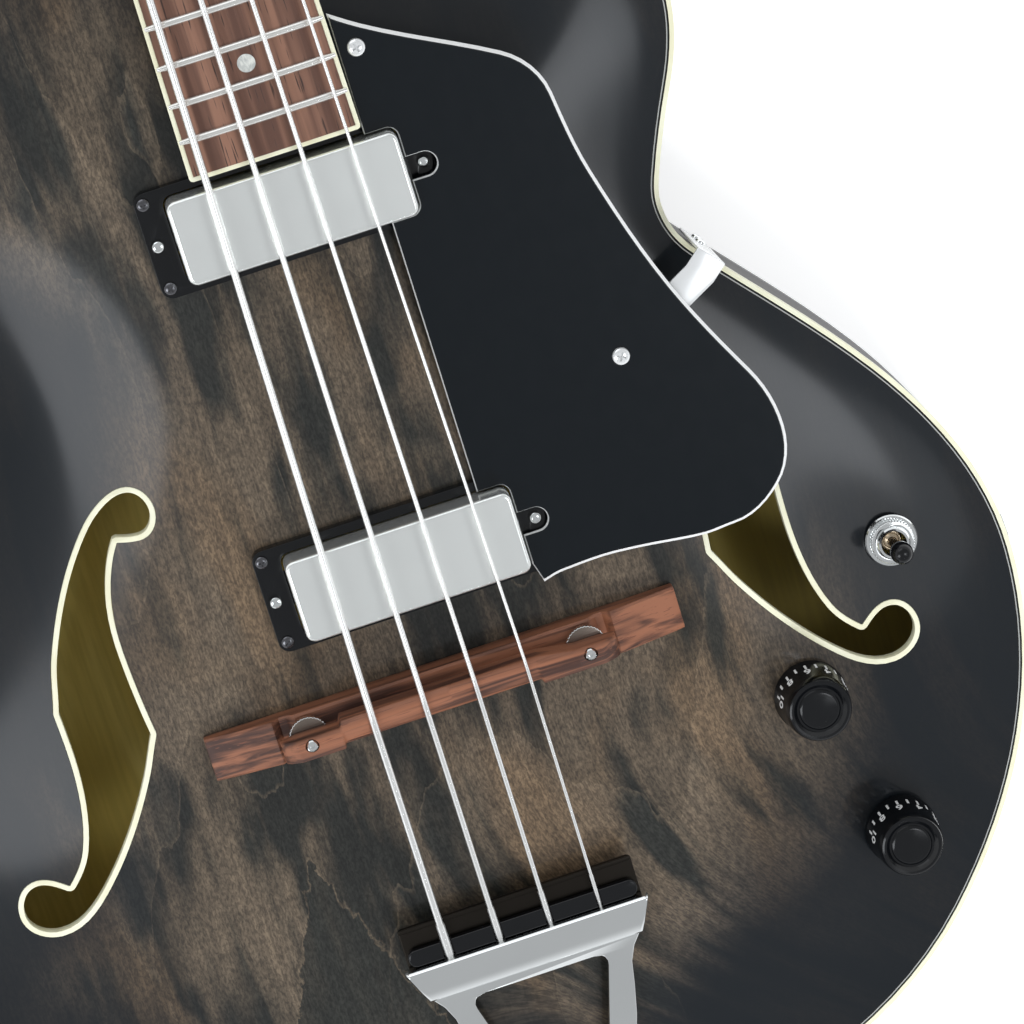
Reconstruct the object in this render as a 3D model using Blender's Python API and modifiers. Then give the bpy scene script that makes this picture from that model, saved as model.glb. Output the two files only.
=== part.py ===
"""Hollow-body electric bass guitar, lying on its back.

Metres. +Z out of the front, +Y towards the headstock, +X the side of the thinnest string.
Origin: flat crown of the back, on the centre line below the line where the strings leave the saddle.
"""
import math

import bmesh
import bpy
import numpy as np
from mathutils import Matrix, Vector
from mathutils.bvhtree import BVHTree

# Clearance between pieces that touch
GAP = 0.0003

# Strings and scale
SCALE_LENGTH = 0.7195
STRING_NAMES = ("e", "a", "d", "g")
STRING_DIAMETERS = (0.0026, 0.0021, 0.0017, 0.0012)
NUT_SPACING = 0.0105
SADDLE_SPACING = 0.0181
STRING_ACTION = 0.0028
FRET_COUNT = 22

# Body outline
LOWER_HALF = 0.2015
WAIST_HALF = 0.1186
UPPER_HALF = 0.1412
TAIL_Y = -0.200
LOWER_BOUT_Y = -0.026
WAIST_Y = 0.128
UPPER_BOUT_Y = 0.197
SHOULDER_Y = 0.295
SHOULDER_HALF = 0.030
CUTAWAY_Y = 0.228

# Body depth
BACK_ARCH = 0.008
TOP_ARCH = 0.014
RIM_TOP_Z = 0.053
PLATE_THICKNESS = 0.004
RIM_THICKNESS = 0.003
BINDING_WIDTH = 0.0016
BINDING_HEIGHT = 0.006
EDGE_FLAT = 0.006
TOP_REACH = 0.095
BACK_REACH = 0.075
LINING_WIDTH = 0.006
LINING_HEIGHT = 0.010
F_BINDING_WIDTH = 0.0017
F_BINDING_PROUD = 0.0003

# Neck
NUT_WIDTH = 0.042
BOARD_END_WIDTH = 0.0584
BOARD_END_Y = 0.1885
BOARD_THICKNESS = 0.006
BOARD_TOP_Z = 0.081
BOARD_CROWN_RADIUS = 0.305
BOARD_BINDING = 0.0016
NECK_ANGLE = math.radians(1.8)
NECK_DEPTH_AT_NUT = 0.015
NECK_DEPTH_AT_HEEL = 0.019
HEEL_DEPTH = 0.058
HEEL_LENGTH = 0.045
TONGUE_DEPTH = 0.009
FRET_WIDTH = 0.0027
FRET_HEIGHT = 0.0011
FRET_TANG = 0.0012
NUT_LENGTH = 0.005
NUT_STRING_HEIGHT = 0.0022

# Headstock
HEAD_ANGLE = math.radians(10)
HEAD_LENGTH = 0.190
HEAD_THICKNESS = 0.014
HEAD_HALF_LOW = 0.034
HEAD_HALF_TOP = 0.041
TUNER_ROWS = (0.055, 0.125)
TUNER_POST_X = 0.021
POST_RADIUS = 0.0045
BUSHING_RADIUS = 0.0062
BUSHING_FLANGE = 0.0085
GEAR_RADIUS = 0.0080
TUNER_PLATE_WIDTH = 0.0210
TUNER_PLATE_LENGTH = 0.0380
TUNER_PLATE_SHIFT = -0.0040
TUNER_PLATE_THICKNESS = 0.0015
GEAR_THICKNESS = 0.0050
POST_TOP = 0.0200
WORM_RADIUS = 0.0030

# Pickups
PICKUP_CENTRES = (0.1698, 0.0430)
PICKUP_TOPS = (0.0800, 0.0830)
COVER_LENGTH = 0.0790
COVER_WIDTH = 0.0290
COVER_HEIGHT = 0.0225
COVER_WALL = 0.0008
RING_LENGTH = 0.0985
RING_WIDTH = 0.0365
RING_RISE = 0.0045
RING_CLEARANCE = 0.0006
PICKUP_EAR_LENGTH = 0.0970
PICKUP_EAR_WIDTH = 0.0120
BASEPLATE_THICKNESS = 0.0015
HEIGHT_SCREW_X = 0.0458
HEIGHT_SCREW_RADIUS = 0.0013

# Pickguard
GUARD_TOP_Z = 0.0750
GUARD_THICKNESS = 0.0030
GUARD_COVER_GAP = 0.0007
GUARD_CORNER = 0.0018
GUARD_NOTCH_RADIUS = 0.0040
BRACKET_WIDTH = 0.011
BRACKET_THICKNESS = 0.0011
BRACKET_TURN = math.radians(40)
BRACKET_RIM_PLACE = (0.1270, 0.1090)
BRACKET_FOOT_Z = 0.034
GUARD_SCREW_PLACE = (0.0890, 0.0877)

# Bridge
BRIDGE_LENGTH = 0.167
BRIDGE_DEPTH = 0.0153
BRIDGE_CENTRE_Y = -0.0030
BRIDGE_TOP_Z = 0.0765
BRIDGE_END_RISE = 0.0045
SADDLE_LENGTH = 0.118
SADDLE_DEPTH = 0.0102
WHEEL_X = 0.0490
WHEEL_RADIUS = 0.0068
WHEEL_THICKNESS = 0.0028
BRIDGE_POST_RADIUS = 0.0020
THREAD_PITCH = 0.0007

# Tailpiece
TAIL_BAR_Y = -0.1010
TAIL_BAR_Z = 0.0780
TAIL_BAR_WIDTH = 0.0880
TAIL_BAR_DEPTH = 0.0140
TAIL_BAR_HEIGHT = 0.0060
TAIL_SHEET = 0.0025
TAIL_PLATE_HALF = 0.0420
TAIL_PLATE_Y = -0.0805
TAIL_PLATE_TOP_Z = 0.0762
TAIL_HINGE_OFFSET = 0.0046
TAIL_HINGE_Z = 0.0560
TAIL_KNUCKLE_RADIUS = 0.0032
TAIL_PIN_RADIUS = 0.0014
TAIL_BRACKET_WIDTH = 0.034
TAIL_BRACKET_LOW_Z = 0.012

# Controls
KNOB_PLACES = ((0.1184, -0.0502), (0.1364, -0.1103))
KNOB_BASE_RADIUS = 0.0127
KNOB_TOP_RADIUS = 0.0108
KNOB_HEIGHT = 0.0185
KNOB_LIFT = 0.0012
POT_RADIUS = 0.0085
POT_HEIGHT = 0.0080
BUSHING_BORE = 0.0031
POT_BUSHING_RADIUS = 0.0038
POT_NUT_RADIUS = 0.0058
POT_NUT_HEIGHT = 0.0024
SWITCH_PLACE = (0.1611, -0.0083)
SWITCH_WASHER_RADIUS = 0.0092
SWITCH_BUSHING_RADIUS = 0.0058
SWITCH_NUT_RADIUS = 0.0078
SWITCH_THROW = math.radians(12)
SIDE_FITTING_Z = 0.0305
JACK_BORE = 0.0034
JACK_RADIUS = 0.0055
JACK_FLANGE_RADIUS = 0.0110
BUTTON_SCREW_RADIUS = 0.0017
SHOULDER_BUTTON_X = -0.0395

# Colours: red, green, blue, then metallic and roughness
FINISHES = {
    "brown_lacquer": (0.115, 0.080, 0.055, 0.0, 0.22),
    "dark_lacquer": (0.060, 0.055, 0.055, 0.0, 0.25),
    "cream": (0.80, 0.72, 0.52, 0.0, 0.40),
    "bare_wood": (0.62, 0.44, 0.26, 0.0, 0.70),
    "rosewood": (0.21, 0.085, 0.045, 0.0, 0.55),
    "bridge_wood": (0.36, 0.14, 0.06, 0.0, 0.50),
    "black_plastic": (0.020, 0.020, 0.022, 0.0, 0.30),
    "chrome": (0.75, 0.76, 0.77, 1.0, 0.12),
    "nickel": (0.62, 0.61, 0.58, 1.0, 0.28),
    "bone": (0.85, 0.81, 0.70, 0.0, 0.45),
}

MATERIALS = {}
BASS = None
CUTTERS = None


def material(name):
    """One Principled material for each finish."""
    if name not in MATERIALS:
        red, green, blue, metallic, roughness = FINISHES[name]
        made = bpy.data.materials.new(name)
        made.use_nodes = True
        shader = made.node_tree.nodes["Principled BSDF"]
        shader.inputs["Base Color"].default_value = (red, green, blue, 1.0)
        shader.inputs["Metallic"].default_value = metallic
        shader.inputs["Roughness"].default_value = roughness
        MATERIALS[name] = made
    return MATERIALS[name]


def start_empty():
    """Remove what the file holds and make the two collections."""
    global BASS, CUTTERS
    for item in list(bpy.data.objects):
        bpy.data.objects.remove(item, do_unlink=True)
    BASS = bpy.data.collections.new("bass_guitar")
    CUTTERS = bpy.data.collections.new("cutters")
    for collection in (BASS, CUTTERS):
        bpy.context.scene.collection.children.link(collection)


def add(name, mesh, finish, location=(0, 0, 0), parent=None, rotation=(0, 0, 0)):
    """Put a mesh in the model as a named piece."""
    piece = bpy.data.objects.new(name, mesh)
    BASS.objects.link(piece)
    piece.data.materials.append(material(finish))
    piece.parent = parent
    piece.location = location
    piece.rotation_euler = rotation
    return piece


def frame_empty(name, location, rotation, parent=None):
    """A tilted frame that pieces are parented to."""
    empty = bpy.data.objects.new(name, None)
    BASS.objects.link(empty)
    empty.parent = parent
    empty.location = location
    empty.rotation_euler = rotation
    bpy.context.view_layer.update()
    return empty


def to_mesh(bm, name):
    """Finish a bmesh with its faces pointing out."""
    bmesh.ops.recalc_face_normals(bm, faces=bm.faces)
    mesh = bpy.data.meshes.new(name)
    bm.to_mesh(mesh)
    bm.free()
    return mesh


def join_meshes(meshes, name):
    """Several separate solids in one mesh."""
    bm = bmesh.new()
    for mesh in meshes:
        bm.from_mesh(mesh)
    return to_mesh(bm, name)


def moved(mesh, matrix):
    mesh.transform(matrix)
    return mesh


def at(x, y, z):
    return Matrix.Translation((x, y, z))


def slab(loops, low, high):
    """A flat outline, with any holes, between two heights."""
    curve = bpy.data.curves.new("outline", "CURVE")
    curve.dimensions = "2D"
    curve.fill_mode = "BOTH"
    curve.extrude = (high - low) / 2
    for loop in loops:
        spline = curve.splines.new("POLY")
        spline.points.add(len(loop) - 1)
        for point, (x, y) in zip(spline.points, loop):
            point.co = (x, y, 0, 1)
        spline.use_cyclic_u = True
    holder = bpy.data.objects.new("outline", curve)
    bpy.context.scene.collection.objects.link(holder)
    evaluated = holder.evaluated_get(bpy.context.evaluated_depsgraph_get())
    flat = bpy.data.meshes.new_from_object(evaluated)
    bpy.data.objects.remove(holder, do_unlink=True)
    bm = bmesh.new()
    bm.from_mesh(flat)
    bmesh.ops.remove_doubles(bm, verts=bm.verts, dist=1e-6)
    bmesh.ops.translate(bm, verts=bm.verts, vec=(0, 0, (low + high) / 2))
    return to_mesh(bm, "slab")


def box(low, high):
    """A box between two corners."""
    bm = bmesh.new()
    size = Vector(high) - Vector(low)
    centre = (Vector(high) + Vector(low)) / 2
    matrix = Matrix.Translation(centre) @ Matrix.Diagonal((*size, 1))
    bmesh.ops.create_cube(bm, size=1, matrix=matrix)
    return to_mesh(bm, "box")


def turned(profile, steps=24):
    """A profile of (radius, height) points turned about Z; a closed loop of points makes a ring."""
    bm = bmesh.new()
    verts = [bm.verts.new((radius, 0, height)) for radius, height in profile]
    pairs = list(zip(verts, verts[1:]))
    on_axis = profile[0][0] == 0
    if not on_axis:
        pairs.append((verts[-1], verts[0]))
    for first, second in pairs:
        bm.edges.new((first, second))
    mesh = bpy.data.meshes.new("profile")
    bm.to_mesh(mesh)
    bm.free()
    holder = bpy.data.objects.new("profile", mesh)
    bpy.context.scene.collection.objects.link(holder)
    screw = holder.modifiers.new("turn", "SCREW")
    screw.steps = steps
    screw.render_steps = steps
    screw.use_merge_vertices = True
    screw.merge_threshold = 0.00001
    evaluated = holder.evaluated_get(bpy.context.evaluated_depsgraph_get())
    result = bpy.data.meshes.new_from_object(evaluated)
    bpy.data.objects.remove(holder, do_unlink=True)
    bm = bmesh.new()
    bm.from_mesh(result)
    bmesh.ops.remove_doubles(bm, verts=bm.verts, dist=1e-6)
    return to_mesh(bm, "turned")


def cylinder(radius, low, high, steps=16):
    return turned(((0, low), (radius, low), (radius, high), (0, high)), steps)


def ring(inner, outer, low, high, steps=16):
    return turned(((inner, low), (outer, low), (outer, high), (inner, high)), steps)


def loft(sections):
    """A closed skin over sections with the same count of points."""
    bm = bmesh.new()
    rows = [[bm.verts.new(point) for point in section] for section in sections]
    count = len(rows[0])
    for row, following in zip(rows, rows[1:]):
        for index in range(count):
            after = (index + 1) % count
            bm.faces.new((row[index], row[after], following[after], following[index]))
    bm.faces.new(rows[0])
    bm.faces.new(rows[-1])
    return to_mesh(bm, "loft")


def tube(name, points, radius, finish, resolution=1):
    """A wire along points, with filled ends."""
    curve = bpy.data.curves.new(name, "CURVE")
    curve.dimensions = "3D"
    curve.bevel_depth = radius
    curve.bevel_resolution = resolution
    curve.use_fill_caps = True
    spline = curve.splines.new("POLY")
    spline.points.add(len(points) - 1)
    for point, place in zip(spline.points, points):
        point.co = (*place, 1)
    wire = bpy.data.objects.new(name, curve)
    BASS.objects.link(wire)
    wire.data.materials.append(material(finish))
    return wire


def boolean(piece, mesh, operation="DIFFERENCE", location=(0, 0, 0), parent=None):
    """Cut a piece with a mesh, or join the mesh to it."""
    tool = bpy.data.objects.new(piece.name + "_cutter", mesh)
    CUTTERS.objects.link(tool)
    tool.parent = parent
    tool.location = location
    tool.hide_render = True
    tool.display_type = "WIRE"
    step = piece.modifiers.new(operation.lower(), "BOOLEAN")
    step.operation = operation
    step.solver = "MANIFOLD" if piece.name == "top_plate" else "EXACT"
    step.object = tool
    return piece


def rectangle(half_x, half_y, x=0.0, y=0.0):
    return [(x - half_x, y - half_y), (x + half_x, y - half_y), (x + half_x, y + half_y), (x - half_x, y + half_y)]


def circle(radius, count, x=0.0, y=0.0):
    turns = [2 * math.pi * index / count for index in range(count)]
    return [(x + radius * math.cos(turn), y + radius * math.sin(turn)) for turn in turns]


def bent_path(stops):
    """Points of a closed line through stops, each an (x, y, heading in degrees, steps to the next stop).

    Each stretch is a cubic whose handles make it an arc where the headings allow one.
    A stop without a heading is a corner, and straight lines meet there.
    """
    points = []
    for (x0, y0, turn0, steps), (x1, y1, turn1, _) in zip(stops, stops[1:] + stops[:1]):
        start = Vector((x0, y0))
        end = Vector((x1, y1))
        chord = (end - start).length
        chord_turn = math.degrees(math.atan2(y1 - y0, x1 - x0))
        first = chord_turn if turn0 is None else turn0
        last = chord_turn if turn1 is None else turn1
        bend = math.radians(abs((last - first + 180) % 360 - 180))
        handle = chord / 3 if bend < 0.01 else chord * 2 / 3 * math.tan(bend / 4) / math.sin(bend / 2)
        lead = start + handle * Vector((math.cos(math.radians(first)), math.sin(math.radians(first))))
        trail = end - handle * Vector((math.cos(math.radians(last)), math.sin(math.radians(last))))
        for step in range(steps):
            t = step / steps
            u = 1 - t
            place = u ** 3 * start + 3 * u * u * t * lead + 3 * u * t * t * trail + t ** 3 * end
            points.append((place.x, place.y))
    return points


def inset(points, distance):
    """The closed line moved inwards, for points that run anticlockwise."""
    result = []
    count = len(points)
    for index in range(count):
        before = Vector(points[index - 1])
        here = Vector(points[index])
        after = Vector(points[(index + 1) % count])
        first = (here - before).normalized()
        second = (after - here).normalized()
        normal = Vector((-first.y - second.y, first.x + second.x)).normalized()
        spread = max(0.5, normal.dot(Vector((-first.y, first.x))))
        place = here + normal * distance / spread
        result.append((place.x, place.y))
    return result


def body_outline():
    """Rim's outer line, anticlockwise from the tail end's middle."""
    half = LOWER_HALF
    waist = WAIST_HALF
    upper = UPPER_HALF
    lower_corner = (half - 0.0521, TAIL_Y + 0.0521)
    right = [
        (0.0, TAIL_Y, 0, 4),
        (*lower_corner, 47, 4),
        (half, LOWER_BOUT_Y, 90, 3),
        (half - 0.0281, LOWER_BOUT_Y + 0.0771, 125, 2),
        (waist + 0.0067, WAIST_Y - 0.0183, 130, 3),
        (waist, WAIST_Y, 90, 2),
        (waist + 0.0020, WAIST_Y + 0.0092, 70, 1),
        (upper - 0.0084, UPPER_BOUT_Y - 0.0315, 64, 2),
        (upper, UPPER_BOUT_Y, 90, 2),
        (upper - 0.0090, UPPER_BOUT_Y + 0.0330, 118, 3),
        (upper - 0.0330, CUTAWAY_Y + 0.0220, 180, 3),
        (upper - 0.0480, CUTAWAY_Y + 0.0105, 228, 2),
        (upper - 0.0740, CUTAWAY_Y, 172, 3),
        (SHOULDER_HALF + 0.0060, CUTAWAY_Y + 0.0170, 124, 2),
        (SHOULDER_HALF, CUTAWAY_Y + 0.0370, 90, 1),
        (SHOULDER_HALF, SHOULDER_Y, None, 1),
    ]
    left = [
        (-SHOULDER_HALF, SHOULDER_Y, 180, 1),
        (-upper + 0.0970, SHOULDER_Y, 180, 6),
        (-upper, UPPER_BOUT_Y, 270, 2),
        (-upper + 0.0084, UPPER_BOUT_Y - 0.0315, 296, 1),
        (-waist - 0.0020, WAIST_Y + 0.0092, 290, 2),
        (-waist, WAIST_Y, 270, 3),
        (-waist - 0.0067, WAIST_Y - 0.0183, 230, 2),
        (-half + 0.0281, LOWER_BOUT_Y + 0.0771, 235, 3),
        (-half, LOWER_BOUT_Y, 270, 4),
        (-lower_corner[0], lower_corner[1], 313, 4),
    ]
    return bent_path(right + left)


def edge_distance_function(outline):
    """A smooth measure of how far a point lies from the outline."""
    places = []
    lengths = []
    pieces_per_side = 8
    for start, end in zip(outline, outline[1:] + outline[:1]):
        step = (Vector(end) - Vector(start)) / pieces_per_side
        for index in range(pieces_per_side):
            places.append(Vector(start) + step * (index + 0.5))
            lengths.append(step.length)
    place_x = np.array([place.x for place in places])
    place_y = np.array([place.y for place in places])
    length = np.array(lengths)

    def distance(x, y):
        reach = np.sqrt((place_x - x) ** 2 + (place_y - y) ** 2)
        reach = np.maximum(reach, 0.001)
        return math.sqrt(2.0 / float(np.sum(length / reach ** 3)))

    return distance


def arched_surface(edge, arch_height, reach, edge_z, distance):
    """An open sheet from the edge line up to the crown, as rings drawn in towards the middle line."""
    spine_low = LOWER_BOUT_Y - 0.030
    spine_high = WAIST_Y + 0.020
    shares = (0.22, 0.44, 0.67, 0.90)
    bm = bmesh.new()
    rows = []

    def height(x, y):
        share = (distance(x, y) - EDGE_FLAT) / (reach - EDGE_FLAT)
        share = min(1.0, max(0.0, share))
        return edge_z + arch_height * (0.5 - 0.5 * math.cos(math.pi * share))

    rows.append([bm.verts.new((x, y, edge_z)) for x, y in edge])
    rows.append([bm.verts.new((x, y, edge_z)) for x, y in inset(edge, EDGE_FLAT)])
    for share in shares:
        row = []
        for x, y in inset(edge, EDGE_FLAT):
            spine_y = min(spine_high, max(spine_low, y))
            px = x * (1 - share)
            py = y + (spine_y - y) * share
            row.append(bm.verts.new((px, py, height(px, py))))
        rows.append(row)
    count = len(edge)
    for row, following in zip(rows, rows[1:]):
        for index in range(count):
            after = (index + 1) % count
            bm.faces.new((row[index], row[after], following[after], following[index]))
    bm.faces.new(rows[-1])
    bmesh.ops.triangulate(bm, faces=bm.faces[:])
    return bm


def thick_plate(name, bm, thickness, direction, finish):
    """A closed plate from an open sheet, thickened straight along Z."""
    sheet = bpy.data.meshes.new(name)
    bm.to_mesh(sheet)
    thick = bmesh.new()
    thick.from_mesh(sheet)
    grown = bmesh.ops.extrude_face_region(thick, geom=thick.faces[:], use_keep_orig=True)
    fresh = [item for item in grown["geom"] if isinstance(item, bmesh.types.BMVert)]
    bmesh.ops.translate(thick, verts=fresh, vec=(0, 0, direction * thickness))
    return add(name, to_mesh(thick, name), finish)


def f_hole_outline(side):
    """Outer line of one f-hole's binding; side is 1 for the thin strings' side and -1 for the other."""
    stops = [
        (0.0830, 0.0942, 180, 3), (0.0744, 0.0846, 270, 3), (0.0826, 0.0752, 0, 2), (0.0900, 0.0764, 15, 1),
        (0.0904, 0.0760, -55, 2), (0.0963, 0.0641, -70, 2), (0.0998, 0.0400, -91, 2), (0.0980, 0.0112, -96, 1),
        (0.0982, 0.0096, -62, 2), (0.1053, -0.0046, -60, 2), (0.1167, -0.0223, -54, 2), (0.1319, -0.0402, -45, 2),
        (0.1510, -0.0505, 0, 3), (0.1631, -0.0398, 90, 3), (0.1533, -0.0284, 180, 2), (0.1434, -0.0331, 218, 1),
        (0.1428, -0.0330, 135, 2), (0.1350, -0.0224, 113, 2), (0.1295, 0.0017, 95, 2), (0.1294, 0.0258, 88, 1),
        (0.1290, 0.0274, 108, 2), (0.1240, 0.0444, 112, 2), (0.1155, 0.0623, 119, 2), (0.1036, 0.0801, 129, 2),
        (0.0935, 0.0901, 146, 3),
    ]
    points = bent_path([(x, y, turn, steps) for x, y, turn, steps in stops])
    if side < 0:
        points = [(-x, y) for x, y in reversed(points)]
    return points


def fret_y(number):
    return SCALE_LENGTH * 2 ** (-number / 12)


LAST_FRET_Y = fret_y(FRET_COUNT)


def board_half_width(y):
    """Half of the fretboard's width at a distance from the saddle line."""
    share = (SCALE_LENGTH - y) / (SCALE_LENGTH - BOARD_END_Y)
    return (NUT_WIDTH + (BOARD_END_WIDTH - NUT_WIDTH) * share) / 2


def crown_z(x):
    """Height of the crowned fretboard surface, zero on the centre line."""
    return -x * x / (2 * BOARD_CROWN_RADIUS)


def build_body():
    """Top, back, rim and what is glued inside; gives the function that reads the top's height."""
    outline = body_outline()
    distance = edge_distance_function(outline)
    plate_edge = inset(outline, BINDING_WIDTH + GAP)
    sheet = arched_surface(plate_edge, TOP_ARCH, TOP_REACH, RIM_TOP_Z, distance)
    tree = BVHTree.FromBMesh(sheet)

    def top_height(x, y):
        hit = tree.ray_cast(Vector((x, y, 1.0)), Vector((0, 0, -1)))[0]
        return RIM_TOP_Z if hit is None else hit.z

    top = thick_plate("top_plate", sheet, PLATE_THICKNESS, -1, "brown_lacquer")
    back_sheet = arched_surface(outline, -BACK_ARCH, BACK_REACH, BACK_ARCH, distance)
    thick_plate("back_plate", back_sheet, PLATE_THICKNESS, 1, "brown_lacquer")

    rim_low = BACK_ARCH + PLATE_THICKNESS + GAP
    rim_high = RIM_TOP_Z - BINDING_HEIGHT - GAP
    rim = add("rim", slab([outline, inset(outline, RIM_THICKNESS)], rim_low, rim_high), "dark_lacquer")
    lining_top = RIM_TOP_Z - PLATE_THICKNESS - GAP
    lining_outer = inset(outline, RIM_THICKNESS + GAP)
    lining_inner = inset(outline, RIM_THICKNESS + GAP + LINING_WIDTH)
    add("back_lining", slab([lining_outer, lining_inner], rim_low, rim_low + LINING_HEIGHT), "bare_wood")
    add("top_lining", slab([lining_outer, lining_inner], lining_top - LINING_HEIGHT, lining_top), "bare_wood")
    binding = slab([outline, inset(outline, BINDING_WIDTH)], RIM_TOP_Z - BINDING_HEIGHT, RIM_TOP_Z)
    add("top_binding", binding, "cream")

    block_edge = RIM_THICKNESS + GAP + LINING_WIDTH + GAP
    inside = inset(outline, block_edge)
    neck_block = box((-0.026, SHOULDER_Y - 0.042, rim_low), (0.020, SHOULDER_Y, lining_top))
    tail_block = box((-0.030, TAIL_Y, rim_low), (0.030, TAIL_Y + 0.032, lining_top))
    for name, block in (("neck_block", neck_block), ("tail_block", tail_block)):
        boolean(add(name, block, "bare_wood"), slab([inside], rim_low - 0.01, lining_top + 0.01), "INTERSECT")

    for side, label in ((-1, "bass"), (1, "treble")):
        stations = [-0.150 + 0.020 * index for index in range(15)]
        sections = []
        for y in stations:
            x = side * 0.054
            high = min(top_height(x - 0.003, y), top_height(x + 0.003, y)) - PLATE_THICKNESS - 2 * GAP
            low = high - 0.009
            sections.append([(x - 0.003, y, low), (x + 0.003, y, low), (x + 0.003, y, high), (x - 0.003, y, high)])
        add("tone_bar_" + label, loft(sections), "bare_wood")

    for side, label in ((-1, "bass"), (1, "treble")):
        line = f_hole_outline(side)
        boolean(top, slab([line], 0.040, 0.080))
        band = slab([inset(line, GAP), inset(line, GAP + F_BINDING_WIDTH)], 0, 1)
        for vertex in band.vertices:
            surface = top_height(vertex.co.x, vertex.co.y)
            raised = vertex.co.z > 0.5
            vertex.co.z = surface + F_BINDING_PROUD if raised else surface - PLATE_THICKNESS
        add("f_hole_binding_" + label, band, "cream")
    return top, rim, top_height


def build_neck(frame, head):
    """Neck, headstock, fretboard and what they carry."""
    def section(y, depth, half_scale=1.0, upright=False):
        half = board_half_width(y) * half_scale
        lean = math.tan(NECK_ANGLE) if upright else 0.0
        high = -BOARD_THICKNESS - GAP
        points = []
        count = 8
        for index in range(count + 1):
            angle = math.pi * index / count
            z = high - depth * math.sin(angle)
            points.append((half * math.cos(angle), y - LAST_FRET_Y - z * lean, z))
        return points

    heel_end = SHOULDER_Y + GAP * 2
    stations = [
        (SCALE_LENGTH + NUT_LENGTH + 0.003, NECK_DEPTH_AT_NUT, 1.0),
        (SCALE_LENGTH - 0.060, NECK_DEPTH_AT_NUT, 1.0),
        (heel_end + HEEL_LENGTH + 0.06, NECK_DEPTH_AT_HEEL, 1.0),
        (heel_end + HEEL_LENGTH, NECK_DEPTH_AT_HEEL + 0.002, 1.0),
        (heel_end + HEEL_LENGTH * 0.6, HEEL_DEPTH * 0.52, 0.98),
        (heel_end + HEEL_LENGTH * 0.3, HEEL_DEPTH * 0.86, 0.96),
        (heel_end + 0.0005, HEEL_DEPTH, 0.95, True),
        (heel_end, TONGUE_DEPTH, 0.95, True),
        (BOARD_END_Y + 0.002, TONGUE_DEPTH * 0.8, 0.95),
    ]
    neck = add("neck", loft([section(*station) for station in stations]), "dark_lacquer", parent=frame)

    half_nut = NUT_WIDTH / 2
    right = [
        (half_nut, 0.0, 90, 1), (half_nut + 0.001, 0.010, 70, 3), (HEAD_HALF_LOW, 0.036, 75, 2),
        (HEAD_HALF_TOP, 0.150, 92, 2), (HEAD_HALF_TOP - 0.012, HEAD_LENGTH - 0.012, 145, 3),
    ]
    left = [(-x, y, None if turn is None else -turn, 0) for x, y, turn, _ in reversed(right)]
    steps_left = (2, 2, 3, 1, 1)
    left = [(x, y, turn, steps) for (x, y, turn, _), steps in zip(left, steps_left)]
    crest = [(0.0, HEAD_LENGTH, 180, 3)]
    outline = bent_path([right[0], *right[1:], *crest, *left])
    hole_radius = BUSHING_RADIUS + GAP * 2
    holes = [circle(hole_radius, 14, side * TUNER_POST_X, row) for row in TUNER_ROWS for side in (-1, 1)]
    boolean(neck, slab([outline, *holes], -GAP - HEAD_THICKNESS, -GAP), "UNION", parent=head)
    count = 6

    def board_section(y):
        half = board_half_width(y) - BOARD_BINDING - GAP
        xs = [-half + 2 * half * index / count for index in range(count + 1)]
        top = [(x, y - LAST_FRET_Y, crown_z(x)) for x in xs]
        low = -BOARD_THICKNESS
        return [(-half, y - LAST_FRET_Y, low)] + top + [(half, y - LAST_FRET_Y, low)]

    nut_y = SCALE_LENGTH - GAP
    board_end = BOARD_END_Y + BOARD_BINDING + GAP
    fretboard = add("fretboard", loft([board_section(board_end), board_section(nut_y)]), "rosewood", parent=frame)
    binding_top = crown_z(BOARD_END_WIDTH / 2)
    wide = board_half_width(BOARD_END_Y)
    narrow = board_half_width(nut_y)
    y0 = BOARD_END_Y - LAST_FRET_Y
    y1 = nut_y - LAST_FRET_Y
    u_shape = [
        (-wide, y0), (wide, y0), (narrow, y1), (narrow - BOARD_BINDING, y1),
        (wide - BOARD_BINDING, y0 + BOARD_BINDING), (-wide + BOARD_BINDING, y0 + BOARD_BINDING),
        (-narrow + BOARD_BINDING, y1), (-narrow, y1),
    ]
    add("fretboard_binding", slab([u_shape], -BOARD_THICKNESS, binding_top), "cream", parent=frame)

    frets = []
    for number in range(1, FRET_COUNT + 1):
        y = fret_y(number)
        half = board_half_width(y) - BOARD_BINDING - 2 * GAP
        sections = []
        for index in range(count + 1):
            x = -half + 2 * half * index / count
            low = crown_z(x)
            middle = y - LAST_FRET_Y
            sections.append([
                (x, middle - FRET_WIDTH / 2, low - FRET_TANG), (x, middle - FRET_WIDTH / 4, low + FRET_HEIGHT),
                (x, middle + FRET_WIDTH / 4, low + FRET_HEIGHT), (x, middle + FRET_WIDTH / 2, low - FRET_TANG),
            ])
        frets.append(loft(sections[::2]))
    boolean(fretboard, join_meshes(frets, "frets"), "UNION", parent=frame)

    nut = box((-NUT_WIDTH / 2, SCALE_LENGTH - LAST_FRET_Y, -BOARD_THICKNESS),
              (NUT_WIDTH / 2, SCALE_LENGTH - LAST_FRET_Y + NUT_LENGTH, NUT_STRING_HEIGHT - 0.0016))
    add("nut", nut, "bone", parent=frame)

    rod_low = -BOARD_THICKNESS - 0.008
    rod = box((-0.003, BOARD_END_Y + 0.10 - LAST_FRET_Y, rod_low),
              (0.003, SCALE_LENGTH - 0.02 - LAST_FRET_Y, rod_low + 0.006))
    slot = box((-0.0033, BOARD_END_Y + 0.10 - GAP - LAST_FRET_Y, rod_low - GAP),
               (0.0033, SCALE_LENGTH - 0.02 + GAP - LAST_FRET_Y, 0.0))
    boolean(neck, slot, parent=frame)
    add("truss_rod", rod, "nickel", parent=frame)
    return neck


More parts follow.
